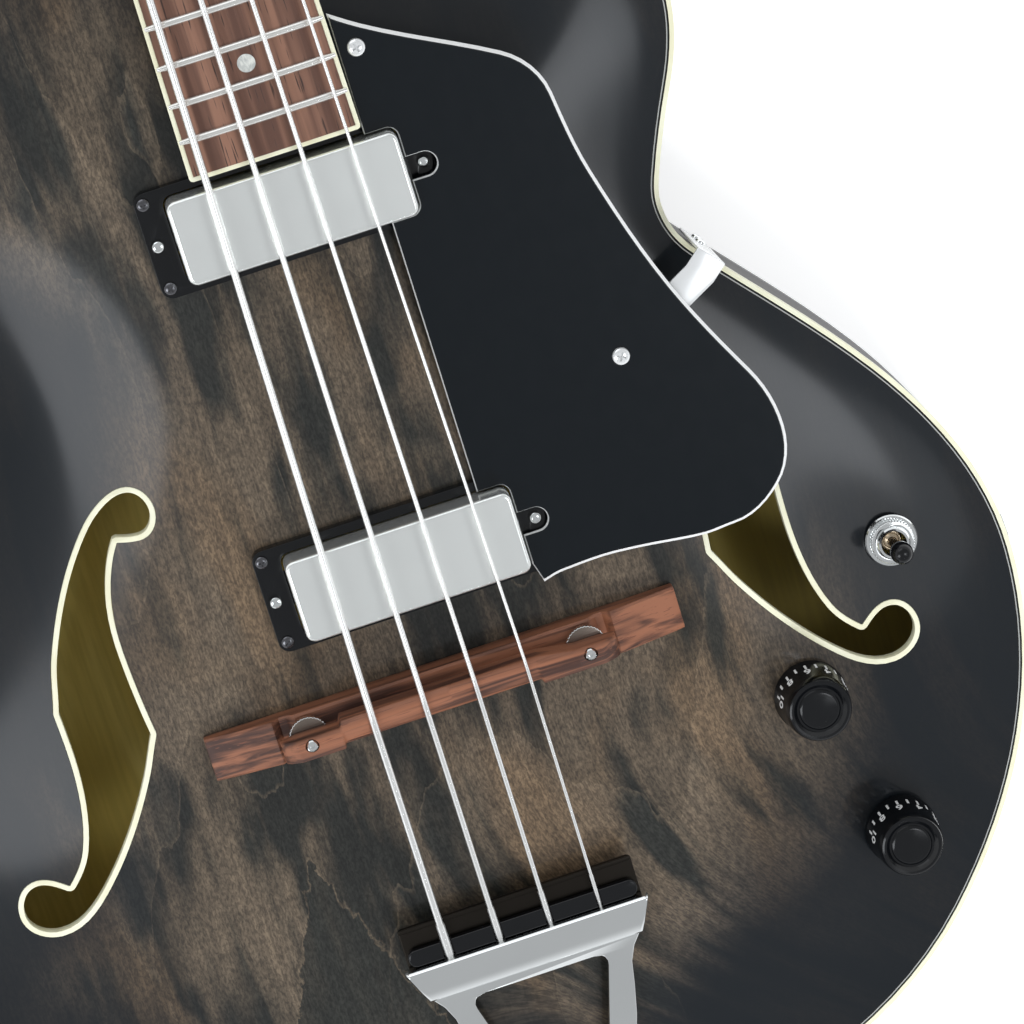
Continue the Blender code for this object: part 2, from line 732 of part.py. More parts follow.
def build_tuners(head):
    """Four tuners: plate with bushing, post with gear, worm with key."""
    head_back = -GAP - HEAD_THICKNESS
    head_front = -GAP
    plate_top = head_back - GAP
    plate_low = plate_top - TUNER_PLATE_THICKNESS
    gear_high = plate_low - GAP
    gear_low = gear_high - GEAR_THICKNESS
    worm_z = (gear_high + gear_low) / 2 - 0.0005
    flange_low = head_front + GAP
    number = 0
    for side in (-1, 1):
        for row in TUNER_ROWS:
            number += 1
            x = side * TUNER_POST_X
            bushing = turned((
                (POST_RADIUS + GAP, plate_low + GAP), (BUSHING_RADIUS, plate_low + GAP), (BUSHING_RADIUS, flange_low),
                (BUSHING_FLANGE, flange_low), (BUSHING_FLANGE, flange_low + 0.001),
                (POST_RADIUS + GAP, flange_low + 0.0018)), 12)
            plate_hole = circle(BUSHING_RADIUS - 0.0007, 14)
            plate_edge = rectangle(TUNER_PLATE_WIDTH / 2, TUNER_PLATE_LENGTH / 2, 0, TUNER_PLATE_SHIFT)
            plate = slab([plate_edge, plate_hole], plate_low, plate_top)
            mount = add("tuner_plate_%d" % number, plate, "chrome", (x, row, 0), head)
            boolean(mount, bushing, "UNION", (x, row, 0), head)
            post = turned((
                (0, gear_low), (GEAR_RADIUS, gear_low), (GEAR_RADIUS, gear_high), (POST_RADIUS, gear_high),
                (POST_RADIUS, 0.010), (POST_RADIUS * 0.8, 0.012), (POST_RADIUS * 0.8, 0.015),
                (POST_RADIUS, 0.017), (POST_RADIUS, POST_TOP), (0, POST_TOP)), 12)
            add("tuner_post_%d" % number, post, "chrome", (x, row, 0), head)
            worm_y = row - GEAR_RADIUS - WORM_RADIUS - GAP
            key_start = HEAD_HALF_TOP + 0.006 - TUNER_POST_X
            worm = cylinder(WORM_RADIUS, -0.008, 0.009, 12)
            shaft = cylinder(0.0018, 0.009 - 0.001, key_start + 0.002, 8)
            ear = loft([
                [(px, py, pz) for px, py in rectangle(half_x, half_y)]
                for pz, half_x, half_y in (
                    (key_start, 0.0025, 0.0030), (key_start + 0.006, 0.0022, 0.0100),
                    (key_start + 0.014, 0.0016, 0.0120), (key_start + 0.020, 0.0012, 0.0080))])
            lie = Matrix.Rotation(side * math.pi / 2, 4, "Y")
            key = add("tuner_key_%d" % number, moved(worm, lie), "chrome", (x, worm_y, worm_z), head)
            for extra in (shaft, ear):
                boolean(key, moved(extra, lie), "UNION", (x, worm_y, worm_z), head)


def build_strings(frame, head):
    """Four strings from the tailpiece over the saddle and nut to their posts."""
    neck_matrix = frame.matrix_world
    head_matrix = head.matrix_world
    saddle_heights = []
    posts = [(-1, 0), (-1, 1), (1, 1), (1, 0)]
    for index, (name, diameter) in enumerate(zip(STRING_NAMES, STRING_DIAMETERS)):
        lane = index - 1.5
        radius = diameter / 2
        nut = neck_matrix @ Vector((lane * NUT_SPACING, SCALE_LENGTH - LAST_FRET_Y, NUT_STRING_HEIGHT + radius))
        at_fret = neck_matrix @ Vector((lane * 0.0157, 0, FRET_HEIGHT + STRING_ACTION + radius))
        slope = (nut.z - at_fret.z) / (nut.y - at_fret.y)
        saddle = Vector((lane * SADDLE_SPACING, 0, nut.z - slope * nut.y))
        saddle_heights.append(saddle.z - radius)
        tail = Vector((lane * SADDLE_SPACING, TAIL_BAR_Y + TAIL_BAR_DEPTH / 2 + GAP, TAIL_BAR_Z))
        side, row = posts[index]
        reach = POST_RADIUS * 0.8 + radius + GAP
        post = head_matrix @ Vector((side * (TUNER_POST_X - reach), TUNER_ROWS[row], 0.0135))
        beyond = head_matrix @ Vector((side * (TUNER_POST_X - reach), TUNER_ROWS[row] + 0.004, 0.0135))
        nut_back = neck_matrix @ Vector((lane * NUT_SPACING, SCALE_LENGTH - LAST_FRET_Y + NUT_LENGTH,
                                         NUT_STRING_HEIGHT + radius))
        tube("string_" + name, [tail, saddle, nut, nut_back, post, beyond], radius, "nickel")
    return saddle_heights


def build_pickups(top, top_height):
    """Two pickups in their mounting rings, with the screws that hold and lift them."""
    for name, centre, cover_top in zip(("neck", "bridge"), PICKUP_CENTRES, PICKUP_TOPS):
        ring_top = top_height(0, centre) + RING_RISE
        for half_x, half_y in ((COVER_LENGTH / 2 + 0.002, COVER_WIDTH / 2 + 0.002),
                               (PICKUP_EAR_LENGTH / 2 + 0.0008, PICKUP_EAR_WIDTH / 2 + 0.001)):
            boolean(top, slab([rectangle(half_x, half_y, 0, centre)], 0.040, 0.090))
        inner = rectangle(COVER_LENGTH / 2 + RING_CLEARANCE, COVER_WIDTH / 2 + RING_CLEARANCE)
        holes = [circle(HEIGHT_SCREW_RADIUS + GAP, 8, side * HEIGHT_SCREW_X) for side in (-1, 1)]
        frame_slab = slab([rectangle(RING_LENGTH / 2, RING_WIDTH / 2), inner, *holes], 0, 1)
        bm = bmesh.new()
        bm.from_mesh(frame_slab)
        for cut_x in (-0.040, -0.030, -0.020, -0.010, 0, 0.010, 0.020, 0.030, 0.040):
            parts = bm.verts[:] + bm.edges[:] + bm.faces[:]
            bmesh.ops.bisect_plane(bm, geom=parts, plane_co=(cut_x, 0, 0), plane_no=(1, 0, 0))
        for cut_y in (-0.009, 0, 0.009):
            parts = bm.verts[:] + bm.edges[:] + bm.faces[:]
            bmesh.ops.bisect_plane(bm, geom=parts, plane_co=(0, cut_y, 0), plane_no=(0, 1, 0))
        bmesh.ops.triangulate(bm, faces=bm.faces[:])
        for vertex in bm.verts:
            if vertex.co.z > 0.5:
                vertex.co.z = ring_top
            else:
                vertex.co.z = top_height(vertex.co.x, vertex.co.y + centre) + 2 * GAP
        add(name + "_pickup_ring", to_mesh(bm, "ring"), "black_plastic", (0, centre, 0))

        low = cover_top - COVER_HEIGHT
        shell = box((-COVER_LENGTH / 2, -COVER_WIDTH / 2, low), (COVER_LENGTH / 2, COVER_WIDTH / 2, cover_top))
        cover = add(name + "_pickup_cover", shell, "chrome", (0, centre, 0))
        hollow = box((-COVER_LENGTH / 2 + COVER_WALL, -COVER_WIDTH / 2 + COVER_WALL, low - 0.01),
                     (COVER_LENGTH / 2 - COVER_WALL, COVER_WIDTH / 2 - COVER_WALL, cover_top - COVER_WALL))
        boolean(cover, hollow, location=(0, centre, 0))
        edge = COVER_WALL + GAP
        coil = box((-COVER_LENGTH / 2 + edge, -COVER_WIDTH / 2 + edge, low),
                   (COVER_LENGTH / 2 - edge, COVER_WIDTH / 2 - edge, cover_top - edge))
        plate_top = low - GAP
        base_low = plate_top - BASEPLATE_THICKNESS
        ears = [rectangle(PICKUP_EAR_LENGTH / 2, PICKUP_EAR_WIDTH / 2), *holes]
        base = slab(ears, base_low, plate_top)
        coil_piece = add(name + "_pickup_coil", base, "nickel", (0, centre, 0))
        boolean(coil_piece, coil, "UNION", location=(0, centre, 0))
        foot = box((-0.030, -0.005, base_low + 0.0005), (0.030, 0.005, low + 0.001))
        boolean(coil_piece, foot, "UNION", location=(0, centre, 0))
        length = ring_top - base_low + 0.006
        for side, label in ((-1, "bass"), (1, "treble")):
            lift = turned(((0, -length), (HEIGHT_SCREW_RADIUS, -length), (HEIGHT_SCREW_RADIUS, GAP),
                           (0.0026, GAP), (0.0026, 0.0016), (0, 0.0016)), 8)
            add("%s_height_screw_%s" % (name, label), lift, "chrome", (side * HEIGHT_SCREW_X, centre, ring_top))


def build_guard(outline):
    """Pickguard over the ends of the pickup rings, with its bracket against the rim."""
    neck_y, bridge_y = PICKUP_CENTRES
    inner = BOARD_END_WIDTH / 2 + GAP + 0.0001
    side_x = COVER_LENGTH / 2 + GUARD_COVER_GAP
    half_y = COVER_WIDTH / 2 + GUARD_COVER_GAP
    corner = GUARD_CORNER
    notch = GUARD_NOTCH_RADIUS

    def notch_stops(y):
        return [
            (side_x, y - notch, None, 1), (HEIGHT_SCREW_X, y - notch, 0, 3), (HEIGHT_SCREW_X + notch, y, 90, 3),
            (HEIGHT_SCREW_X, y + notch, 180, 1), (side_x, y + notch, None, 1),
        ]

    stops = [
        (inner, neck_y + half_y, None, 1), (inner, 0.2266, None, 1), (0.0390, 0.2202, -32, 2),
        (0.0802, 0.1976, -31, 2), (0.0925, 0.1794, -83, 2), (0.0972, 0.1510, -75, 2), (0.1117, 0.1057, -68, 2),
        (0.1293, 0.0693, -62, 2), (0.1349, 0.0472, -90, 2), (0.1274, 0.0282, -137, 2), (0.1096, 0.0198, 180, 2),
        (0.0987, 0.0193, 176, 2), (0.0764, 0.0221, 174, 2), (0.0625, 0.0231, 180, 1), (0.0535, 0.0228, 184, 1),
        (0.0481, 0.0225, 188, 1), (0.0423, 0.0211, None, 1), (side_x, bridge_y - half_y + 0.0005, None, 1),
        *notch_stops(bridge_y),
        (side_x, bridge_y + half_y - corner, 90, 2), (side_x - corner, bridge_y + half_y, 180, 1),
        (inner, bridge_y + half_y, None, 1), (inner, neck_y - half_y, None, 1),
        (side_x - corner, neck_y - half_y, 0, 2), (side_x, neck_y - half_y + corner, 90, 1),
        *notch_stops(neck_y),
        (side_x, neck_y + half_y - corner, 90, 2), (side_x - corner, neck_y + half_y, 180, 1),
    ]
    line = list(reversed(bent_path(stops)))
    low = GUARD_TOP_Z - GUARD_THICKNESS
    add("pickguard", slab([line], low, GUARD_TOP_Z), "black_plastic")

    arm_high = low - GAP
    arm_low = arm_high - BRACKET_THICKNESS
    screw_place = Vector((*GUARD_SCREW_PLACE, 0))
    rim_place = Vector((*BRACKET_RIM_PLACE, 0))
    start = screw_place - (rim_place - screw_place).normalized() * BRACKET_WIDTH / 2
    along = Vector((math.cos(BRACKET_TURN), math.sin(BRACKET_TURN), 0))
    across = Vector((-along.y, along.x, 0)) * BRACKET_WIDTH / 2
    bend = rim_place - along * 0.006
    wall_reach = 0.0
    for (x0, y0), (x1, y1) in zip(outline, outline[1:] + outline[:1]):
        for share in np.linspace(0, 1, 25):
            offset = Vector((x0 + (x1 - x0) * share, y0 + (y1 - y0) * share, 0)) - rim_place
            if offset.length < BRACKET_WIDTH and abs(offset.dot(across)) < across.length_squared:
                wall_reach = max(wall_reach, offset.dot(along))
    inner_wall = rim_place + along * (wall_reach + GAP)
    outer_wall = inner_wall + along * BRACKET_THICKNESS
    sections = []
    for first, first_z, second, second_z in (
            (start, arm_low, start, arm_high), (bend, arm_low, bend, arm_high),
            (inner_wall, arm_low, outer_wall, arm_high), (inner_wall, BRACKET_FOOT_Z, outer_wall, BRACKET_FOOT_Z)):
        sections.append([
            (*(first - across).xy, first_z), (*(first + across).xy, first_z),
            (*(second + across).xy, second_z), (*(second - across).xy, second_z)])
    add("pickguard_bracket", loft(sections), "chrome")


def build_bridge(top_height, saddle_heights):
    """Floating base, posts, thumbwheels and the saddle that rides on them."""
    half = BRIDGE_LENGTH / 2
    count = 18
    y_low = BRIDGE_CENTRE_Y - BRIDGE_DEPTH / 2
    y_high = BRIDGE_CENTRE_Y + BRIDGE_DEPTH / 2
    sections = []
    for index in range(count + 1):
        x = -half + 2 * half * index / count
        surface = [top_height(x, y_low) + 2 * GAP, top_height(x, y_high) + 2 * GAP]
        scoop = max(0.0, (abs(x) - WHEEL_X - 0.008) / (half - WHEEL_X - 0.008))
        end_top = max(surface) + BRIDGE_END_RISE
        high = BRIDGE_TOP_Z + (end_top - BRIDGE_TOP_Z) * min(1.0, math.sqrt(scoop) if scoop > 0 else 0.0)
        sections.append([(x, y_low, surface[0]), (x, y_high, surface[1]), (x, y_high, high), (x, y_low, high)])
    base = add("bridge_base", loft(sections), "bridge_wood")

    lowest = min(saddle_heights) - GAP
    wheel_low = BRIDGE_TOP_Z + GAP + 0.0010
    wheel_high = wheel_low + WHEEL_THICKNESS
    saddle_low = wheel_high + GAP
    for side in (-1, 1):
        x = side * WHEEL_X
        post = cylinder(BRIDGE_POST_RADIUS, BRIDGE_TOP_Z - 0.006, lowest - GAP, 10)
        boolean(base, post, "UNION", (x, BRIDGE_CENTRE_Y, 0))
        wheel = ring(BRIDGE_POST_RADIUS + GAP, WHEEL_RADIUS, -WHEEL_THICKNESS / 2, WHEEL_THICKNESS / 2, 20)
        label = "bass" if side < 0 else "treble"
        add("thumbwheel_" + label, wheel, "chrome", (x, BRIDGE_CENTRE_Y, (wheel_low + wheel_high) / 2))

    xs = (-SADDLE_LENGTH / 2, -SADDLE_LENGTH / 2 + 0.004, -WHEEL_X, -0.034, -0.016, 0, 0.016, 0.034, WHEEL_X,
          SADDLE_LENGTH / 2 - 0.004, SADDLE_LENGTH / 2)
    sections = []
    for x in xs:
        edge = abs(x) > SADDLE_LENGTH / 2 - 0.002
        high = lowest - (0.004 if edge else 0.0)
        low = saddle_low + (0.002 if edge else 0.0)
        front = BRIDGE_CENTRE_Y + SADDLE_DEPTH / 2
        rear = BRIDGE_CENTRE_Y - SADDLE_DEPTH / 2
        sections.append([(x, rear, low), (x, front, low), (x, front - 0.0005, high), (x, rear + 0.003, high - 0.002)])
    saddle = add("bridge_saddle", loft(sections), "bridge_wood")
    for side in (-1, 1):
        boolean(saddle, cylinder(BRIDGE_POST_RADIUS + GAP, -0.03, 0.03, 10),
                location=(side * WHEEL_X, BRIDGE_CENTRE_Y, saddle_low))
    return saddle


def build_tailpiece():
    """Trapeze tailpiece and its hinge bracket on the tail end; gives the bracket and its outer face."""
    hinge_y = TAIL_Y - TAIL_HINGE_OFFSET
    run = TAIL_BAR_Y - hinge_y
    slope = math.atan2(TAIL_BAR_Z - TAIL_BAR_HEIGHT / 2 - TAIL_HINGE_Z, run)
    frame = frame_empty("tailpiece_frame", (0, hinge_y, TAIL_HINGE_Z), (slope, 0, 0))
    far = run / math.cos(slope) - TAIL_BAR_DEPTH / 2
    half = TAIL_BAR_WIDTH / 2
    outer_near = 0.0140
    inner_near = 0.0065
    tail_edge_half = half - 0.0055
    window = far - 0.0050
    outer_side = [
        (outer_near - 0.0004, 0), (outer_near - 0.0001, 0.0130), (0.0184, 0.0300), (0.0284, 0.0657), (0.0320, 0.0870),
        (0.0345, far - 0.0055), (tail_edge_half - 0.0004, far),
    ]
    inner_side = [
        (0.0205, window), (0.0232, window - 0.0012), (0.0240, window - 0.0045), (0.0189, 0.0687),
        (inner_near + 0.0001, 0.0190), (inner_near + 0.0004, 0),
    ]
    left_outer = [(-x, y) for x, y in reversed(outer_side)]
    left_inner = [(-x, y) for x, y in reversed(inner_side)]
    sheet = slab([left_outer + left_inner + inner_side + outer_side], -TAIL_SHEET / 2, TAIL_SHEET / 2)
    tail = add("tailpiece", sheet, "chrome", parent=frame)
    bar = loft([
        [(-tail_edge_half, far - 0.001, 0), (tail_edge_half, far - 0.001, 0),
         (tail_edge_half - 0.001, far, TAIL_BAR_HEIGHT - 0.002),
         (-tail_edge_half + 0.001, far, TAIL_BAR_HEIGHT - 0.002)],
        [(-half, far + TAIL_BAR_DEPTH, 0), (half, far + TAIL_BAR_DEPTH, 0),
         (half, far + TAIL_BAR_DEPTH, TAIL_BAR_HEIGHT), (-half, far + TAIL_BAR_DEPTH, TAIL_BAR_HEIGHT)]])
    boolean(tail, bar, "UNION", parent=frame)
    plate = box((-TAIL_PLATE_HALF, TAIL_BAR_Y + 0.0010, TAIL_PLATE_TOP_Z - 0.0020),
                (TAIL_PLATE_HALF, TAIL_PLATE_Y, TAIL_PLATE_TOP_Z))
    boolean(tail, plate, "UNION")
    turn = Matrix.Rotation(math.pi / 2, 4, "Y")
    length = 0.0075
    for side in (-1, 1):
        knuckle = moved(cylinder(TAIL_KNUCKLE_RADIUS, -length / 2, length / 2, 12), turn)
        boolean(tail, knuckle, "UNION", (side * (outer_near - length / 2), 0, 0), frame)
    bore = moved(cylinder(TAIL_PIN_RADIUS + GAP, -0.03, 0.03, 10), turn)
    boolean(tail, bore, parent=frame)

    plate_face = TAIL_Y - GAP
    bracket = box((-TAIL_BRACKET_WIDTH / 2, plate_face - BRACKET_THICKNESS, TAIL_BRACKET_LOW_Z),
                  (TAIL_BRACKET_WIDTH / 2, plate_face, TAIL_HINGE_Z - TAIL_KNUCKLE_RADIUS - 0.0012))
    piece = add("tail_bracket", bracket, "chrome")
    arm = box((-0.0058, plate_face - BRACKET_THICKNESS - 0.0008, 0.040), (0.0058, plate_face, TAIL_HINGE_Z))
    boolean(piece, arm, "UNION")
    knuckle = moved(cylinder(TAIL_KNUCKLE_RADIUS, -0.0058, 0.0058, 12), turn)
    boolean(piece, knuckle, "UNION", (0, hinge_y, TAIL_HINGE_Z))
    pin = moved(cylinder(TAIL_PIN_RADIUS, -outer_near - 0.001, outer_near + 0.001, 10), turn)
    boolean(piece, pin, "UNION", (0, hinge_y, TAIL_HINGE_Z))
    return piece, plate_face - BRACKET_THICKNESS


def strap_button_mesh():
    """A strap button on its screw, standing on height zero."""
    stem = BUTTON_SCREW_RADIUS
    return turned(((0, -0.016), (stem, -0.016), (stem, GAP), (0.0062, GAP), (0.0045, 0.0030),
                   (0.0045, 0.0090), (0.0075, 0.0120), (0.0075, 0.0140), (0, 0.0140)), 12)


def build_controls(top, rim, top_height):
    """Two knobs on their potentiometers, the switch and the output jack."""
    under = -PLATE_THICKNESS
    for name, (x, y) in zip(("volume", "tone"), KNOB_PLACES):
        radius = POT_NUT_RADIUS
        around = [top_height(x + radius * math.cos(a), y + radius * math.sin(a)) for a in np.linspace(0, 6.28, 9)]
        high = max(around)
        wide = [top_height(x + POT_RADIUS * math.cos(a), y + POT_RADIUS * math.sin(a)) for a in np.linspace(0, 6.28, 9)]
        low = min(wide) + under - GAP
        boolean(top, cylinder(POT_BUSHING_RADIUS + GAP, -0.03, 0.03, 12), location=(x, y, high))
        nut_low = high + GAP
        nut_high = nut_low + POT_NUT_HEIGHT
        pot = turned((
            (BUSHING_BORE, low - POT_HEIGHT + 0.001), (POT_RADIUS - 0.001, low - POT_HEIGHT + 0.001),
            (POT_RADIUS - 0.001, low - POT_HEIGHT), (POT_RADIUS, low - POT_HEIGHT), (POT_RADIUS, low),
            (POT_BUSHING_RADIUS, low), (POT_BUSHING_RADIUS, nut_low), (POT_NUT_RADIUS, nut_low),
            (POT_NUT_RADIUS, nut_high), (BUSHING_BORE, nut_high)), 12)
        add(name + "_potentiometer", pot, "nickel", (x, y, 0))
        knob_low = high + KNOB_LIFT
        skirt = KNOB_HEIGHT - 0.003
        knob = turned((
            (0, knob_low + 0.004), (0.0070, knob_low + 0.004), (0.0070, knob_low), (KNOB_BASE_RADIUS, knob_low),
            (KNOB_BASE_RADIUS, knob_low + 0.003), (KNOB_TOP_RADIUS + 0.0004, knob_low + skirt),
            (KNOB_TOP_RADIUS, knob_low + KNOB_HEIGHT), (KNOB_TOP_RADIUS - 0.0012, knob_low + KNOB_HEIGHT),
            (KNOB_TOP_RADIUS - 0.0020, knob_low + KNOB_HEIGHT - 0.001), (0, knob_low + KNOB_HEIGHT - 0.001)), 20)
        piece = add(name + "_knob", knob, "black_plastic", (x, y, 0))
        shaft = cylinder(BUSHING_BORE - 0.0002, low - POT_HEIGHT + 0.001, knob_low + 0.005, 12)
        boolean(piece, shaft, "UNION", (x, y, 0))

    x, y = SWITCH_PLACE
    radius = SWITCH_WASHER_RADIUS
    around = [top_height(x + radius * math.cos(a), y + radius * math.sin(a)) for a in np.linspace(0, 6.28, 9)]
    high = max(around) + GAP
    low = min(around) - PLATE_THICKNESS - GAP
    boolean(top, cylinder(SWITCH_BUSHING_RADIUS + GAP, -0.03, 0.03, 14), location=(x, y, high))
    bore = SWITCH_BUSHING_RADIUS - 0.0013
    body = turned(((bore, low - 0.014), (0.0085, low - 0.014), (0.0085, low), (SWITCH_BUSHING_RADIUS, low),
                   (SWITCH_BUSHING_RADIUS, high), (SWITCH_WASHER_RADIUS, high), (SWITCH_WASHER_RADIUS, high + 0.0010),
                   (SWITCH_NUT_RADIUS, high + 0.0010), (SWITCH_NUT_RADIUS, high + 0.0045),
                   (bore, high + 0.0052)), 16)
    add("switch_body", body, "nickel", (x, y, 0))
    pivot = high - 0.002
    ball = bore - GAP
    stem = 0.0016
    ball_edge = [(ball * math.cos(a), ball * math.sin(a)) for a in np.radians((-66, -40, -13, 13, 40, 66))]
    lever = turned(((0, -0.008), (stem, -0.008), *ball_edge, (stem, 0.014), (0.0034, 0.015), (0.0040, 0.018),
                    (0.0034, 0.0215), (0.0018, 0.0232), (0, 0.0236)), 12)
    add("switch_lever", lever, "black_plastic", (x, y, pivot))

    lie = Matrix.Rotation(math.pi / 2, 4, "Y")
    place = at(LOWER_HALF, LOWER_BOUT_Y, SIDE_FITTING_Z) @ lie
    boolean(rim, moved(cylinder(JACK_RADIUS + GAP, -0.02, 0.02, 14), place))
    inner_face = -RIM_THICKNESS - 0.0016
    jack = turned(((JACK_BORE, -0.024), (0.0072, -0.024), (0.0072, inner_face), (JACK_RADIUS, inner_face),
                   (JACK_RADIUS, GAP), (JACK_FLANGE_RADIUS, GAP), (JACK_FLANGE_RADIUS, 0.0015),
                   (0.0075, 0.0017), (0.0075, 0.0028), (JACK_BORE, 0.0028)), 16)
    add("output_jack", moved(jack, place), "chrome")


def build_strap_buttons(tail_bracket, tail_face_y, rim):
    """One button on the tail bracket and one on the bass shoulder."""
    tail_place = at(0, tail_face_y, SIDE_FITTING_Z) @ Matrix.Rotation(math.pi / 2, 4, "X")
    shoulder_place = at(SHOULDER_BUTTON_X, SHOULDER_Y, SIDE_FITTING_Z) @ Matrix.Rotation(-math.pi / 2, 4, "X")
    for piece, place in ((tail_bracket, tail_place), (rim, tail_place), (rim, shoulder_place),
                         (bpy.data.objects["tail_block"], tail_place)):
        boolean(piece, moved(cylinder(BUTTON_SCREW_RADIUS + 0.0005, -0.03, 0.02, 8), place))
    add("end_strap_button", moved(strap_button_mesh(), tail_place), "chrome")
    add("shoulder_strap_button", moved(strap_button_mesh(), shoulder_place), "chrome")


def build():
    start_empty()
    top, rim, top_height = build_body()
    neck_frame = frame_empty("neck_frame", (0, LAST_FRET_Y, BOARD_TOP_Z), (-NECK_ANGLE, 0, 0))
    head_start = SCALE_LENGTH + NUT_LENGTH - LAST_FRET_Y
    head_frame = frame_empty("head_frame", (0, head_start, -BOARD_THICKNESS), (-HEAD_ANGLE, 0, 0), neck_frame)
    build_neck(neck_frame, head_frame)
    build_tuners(head_frame)
    saddle_heights = build_strings(neck_frame, head_frame)
    build_pickups(top, top_height)
    build_guard(body_outline())
    build_bridge(top_height, saddle_heights)
    tail_bracket, tail_face_y = build_tailpiece()
    build_controls(top, rim, top_height)
    build_strap_buttons(tail_bracket, tail_face_y, rim)


build()
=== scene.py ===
"""Looks of a hollow-body electric bass guitar, made around its solids.

Metres. +Z out of the front, +Y towards the headstock, +X the side of the thinnest string.
"""
import math

import bmesh
import bpy
import numpy as np
from mathutils import Matrix, Vector


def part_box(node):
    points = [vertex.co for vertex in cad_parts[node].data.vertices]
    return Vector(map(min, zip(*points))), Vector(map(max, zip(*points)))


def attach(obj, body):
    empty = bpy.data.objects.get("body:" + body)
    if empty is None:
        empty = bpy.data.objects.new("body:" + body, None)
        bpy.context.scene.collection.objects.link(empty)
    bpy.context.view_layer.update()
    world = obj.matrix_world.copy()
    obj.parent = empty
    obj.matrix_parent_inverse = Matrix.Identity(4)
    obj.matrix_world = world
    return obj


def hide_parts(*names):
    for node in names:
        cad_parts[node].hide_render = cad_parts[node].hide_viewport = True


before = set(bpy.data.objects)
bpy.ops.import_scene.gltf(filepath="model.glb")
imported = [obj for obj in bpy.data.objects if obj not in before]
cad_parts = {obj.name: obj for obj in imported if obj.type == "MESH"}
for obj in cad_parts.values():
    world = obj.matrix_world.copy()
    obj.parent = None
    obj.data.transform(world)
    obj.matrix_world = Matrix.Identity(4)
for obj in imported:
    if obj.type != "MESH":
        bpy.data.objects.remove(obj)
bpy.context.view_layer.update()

# Sizes that the looks share with the solids
GAP = 0.0003
SCALE_LENGTH = 0.7195
FRET_COUNT = 22
NUT_SPACING = 0.0105
SADDLE_SPACING = 0.0181
STRINGS = (("e", 0.0026), ("a", 0.0021), ("d", 0.0017), ("g", 0.0012))
STRING_ACTION = 0.0028
NUT_STRING_HEIGHT = 0.0022
NUT_LENGTH = 0.005
NUT_WIDTH = 0.042

LOWER_HALF = 0.2015
WAIST_HALF = 0.1186
UPPER_HALF = 0.1412
TAIL_Y = -0.200
LOWER_BOUT_Y = -0.026
WAIST_Y = 0.128
UPPER_BOUT_Y = 0.197
SHOULDER_Y = 0.295
SHOULDER_HALF = 0.030
CUTAWAY_Y = 0.228
RIM_TOP_Z = 0.053
TOP_ARCH = 0.014
BACK_ARCH = 0.008
TOP_REACH = 0.095
BACK_REACH = 0.075
EDGE_FLAT = 0.006
PLATE_THICKNESS = 0.004
RIM_THICKNESS = 0.003
BINDING_WIDTH = 0.0016
BINDING_HEIGHT = 0.006
F_BINDING_WIDTH = 0.0017
F_BINDING_PROUD = 0.0003

BOARD_END_Y = 0.1885
BOARD_END_WIDTH = 0.0584
BOARD_THICKNESS = 0.006
BOARD_TOP_Z = 0.081
BOARD_CROWN_RADIUS = 0.305
BOARD_BINDING = 0.0016
NECK_ANGLE = math.radians(1.8)
HEAD_ANGLE = math.radians(10)
HEAD_LENGTH = 0.190
HEAD_THICKNESS = 0.014
TUNER_ROWS = (0.055, 0.125)
TUNER_POST_X = 0.021
FRET_HEIGHT = 0.0011

PICKUPS = (("neck", 0.1698), ("bridge", 0.0430))
RING_LENGTH = 0.0985
RING_WIDTH = 0.0365
HEIGHT_SCREW_X = 0.0458
BRIDGE_LENGTH = 0.167
WHEEL_X = 0.049
BRIDGE_Y = -0.003
KNOBS = (("volume", 0.1184, -0.0502), ("tone", 0.1364, -0.1103))
SWITCH_X, SWITCH_Y = 0.1611, -0.0083
SIDE_FITTING_Z = 0.0305
BRACKET_TURN = math.radians(40)
BRACKET_AT = (0.1270, 0.1090)
HAIR = 0.0001


# Places and turns

def at(x, y, z=0.0):
    return Matrix.Translation((x, y, z))


def spun(turn, axis):
    return Matrix.Rotation(turn, 4, axis)


SIDEWAYS = spun(math.pi / 2, "Y")
LAST_FRET_Y = SCALE_LENGTH * 2 ** (-FRET_COUNT / 12)
NECK = at(0, LAST_FRET_Y, BOARD_TOP_Z) @ spun(-NECK_ANGLE, "X")
HEAD_START = SCALE_LENGTH + NUT_LENGTH - LAST_FRET_Y
HEAD = NECK @ at(0, HEAD_START, -BOARD_THICKNESS) @ spun(-HEAD_ANGLE, "X")
JACK_PLACE = at(LOWER_HALF, LOWER_BOUT_Y, SIDE_FITTING_Z) @ SIDEWAYS


# Outlines

def bent_path(stops, fine=1):
    """Points of a closed line through stops, each an (x, y, heading in degrees, steps to the next stop)."""
    points = []
    for (x0, y0, turn0, steps), (x1, y1, turn1, _) in zip(stops, stops[1:] + stops[:1]):
        start = Vector((x0, y0))
        end = Vector((x1, y1))
        chord = (end - start).length
        chord_turn = math.degrees(math.atan2(y1 - y0, x1 - x0))
        first = chord_turn if turn0 is None else turn0
        last = chord_turn if turn1 is None else turn1
        bend = math.radians(abs((last - first + 180) % 360 - 180))
        handle = chord / 3 if bend < 0.01 else chord * 2 / 3 * math.tan(bend / 4) / math.sin(bend / 2)
        lead = start + handle * Vector((math.cos(math.radians(first)), math.sin(math.radians(first))))
        trail = end - handle * Vector((math.cos(math.radians(last)), math.sin(math.radians(last))))
        count = steps if turn0 is None and turn1 is None else steps * fine
        for step in range(count):
            t = step / count
            u = 1 - t
            place = u ** 3 * start + 3 * u * u * t * lead + 3 * u * t * t * trail + t ** 3 * end
            points.append((place.x, place.y))
    return points


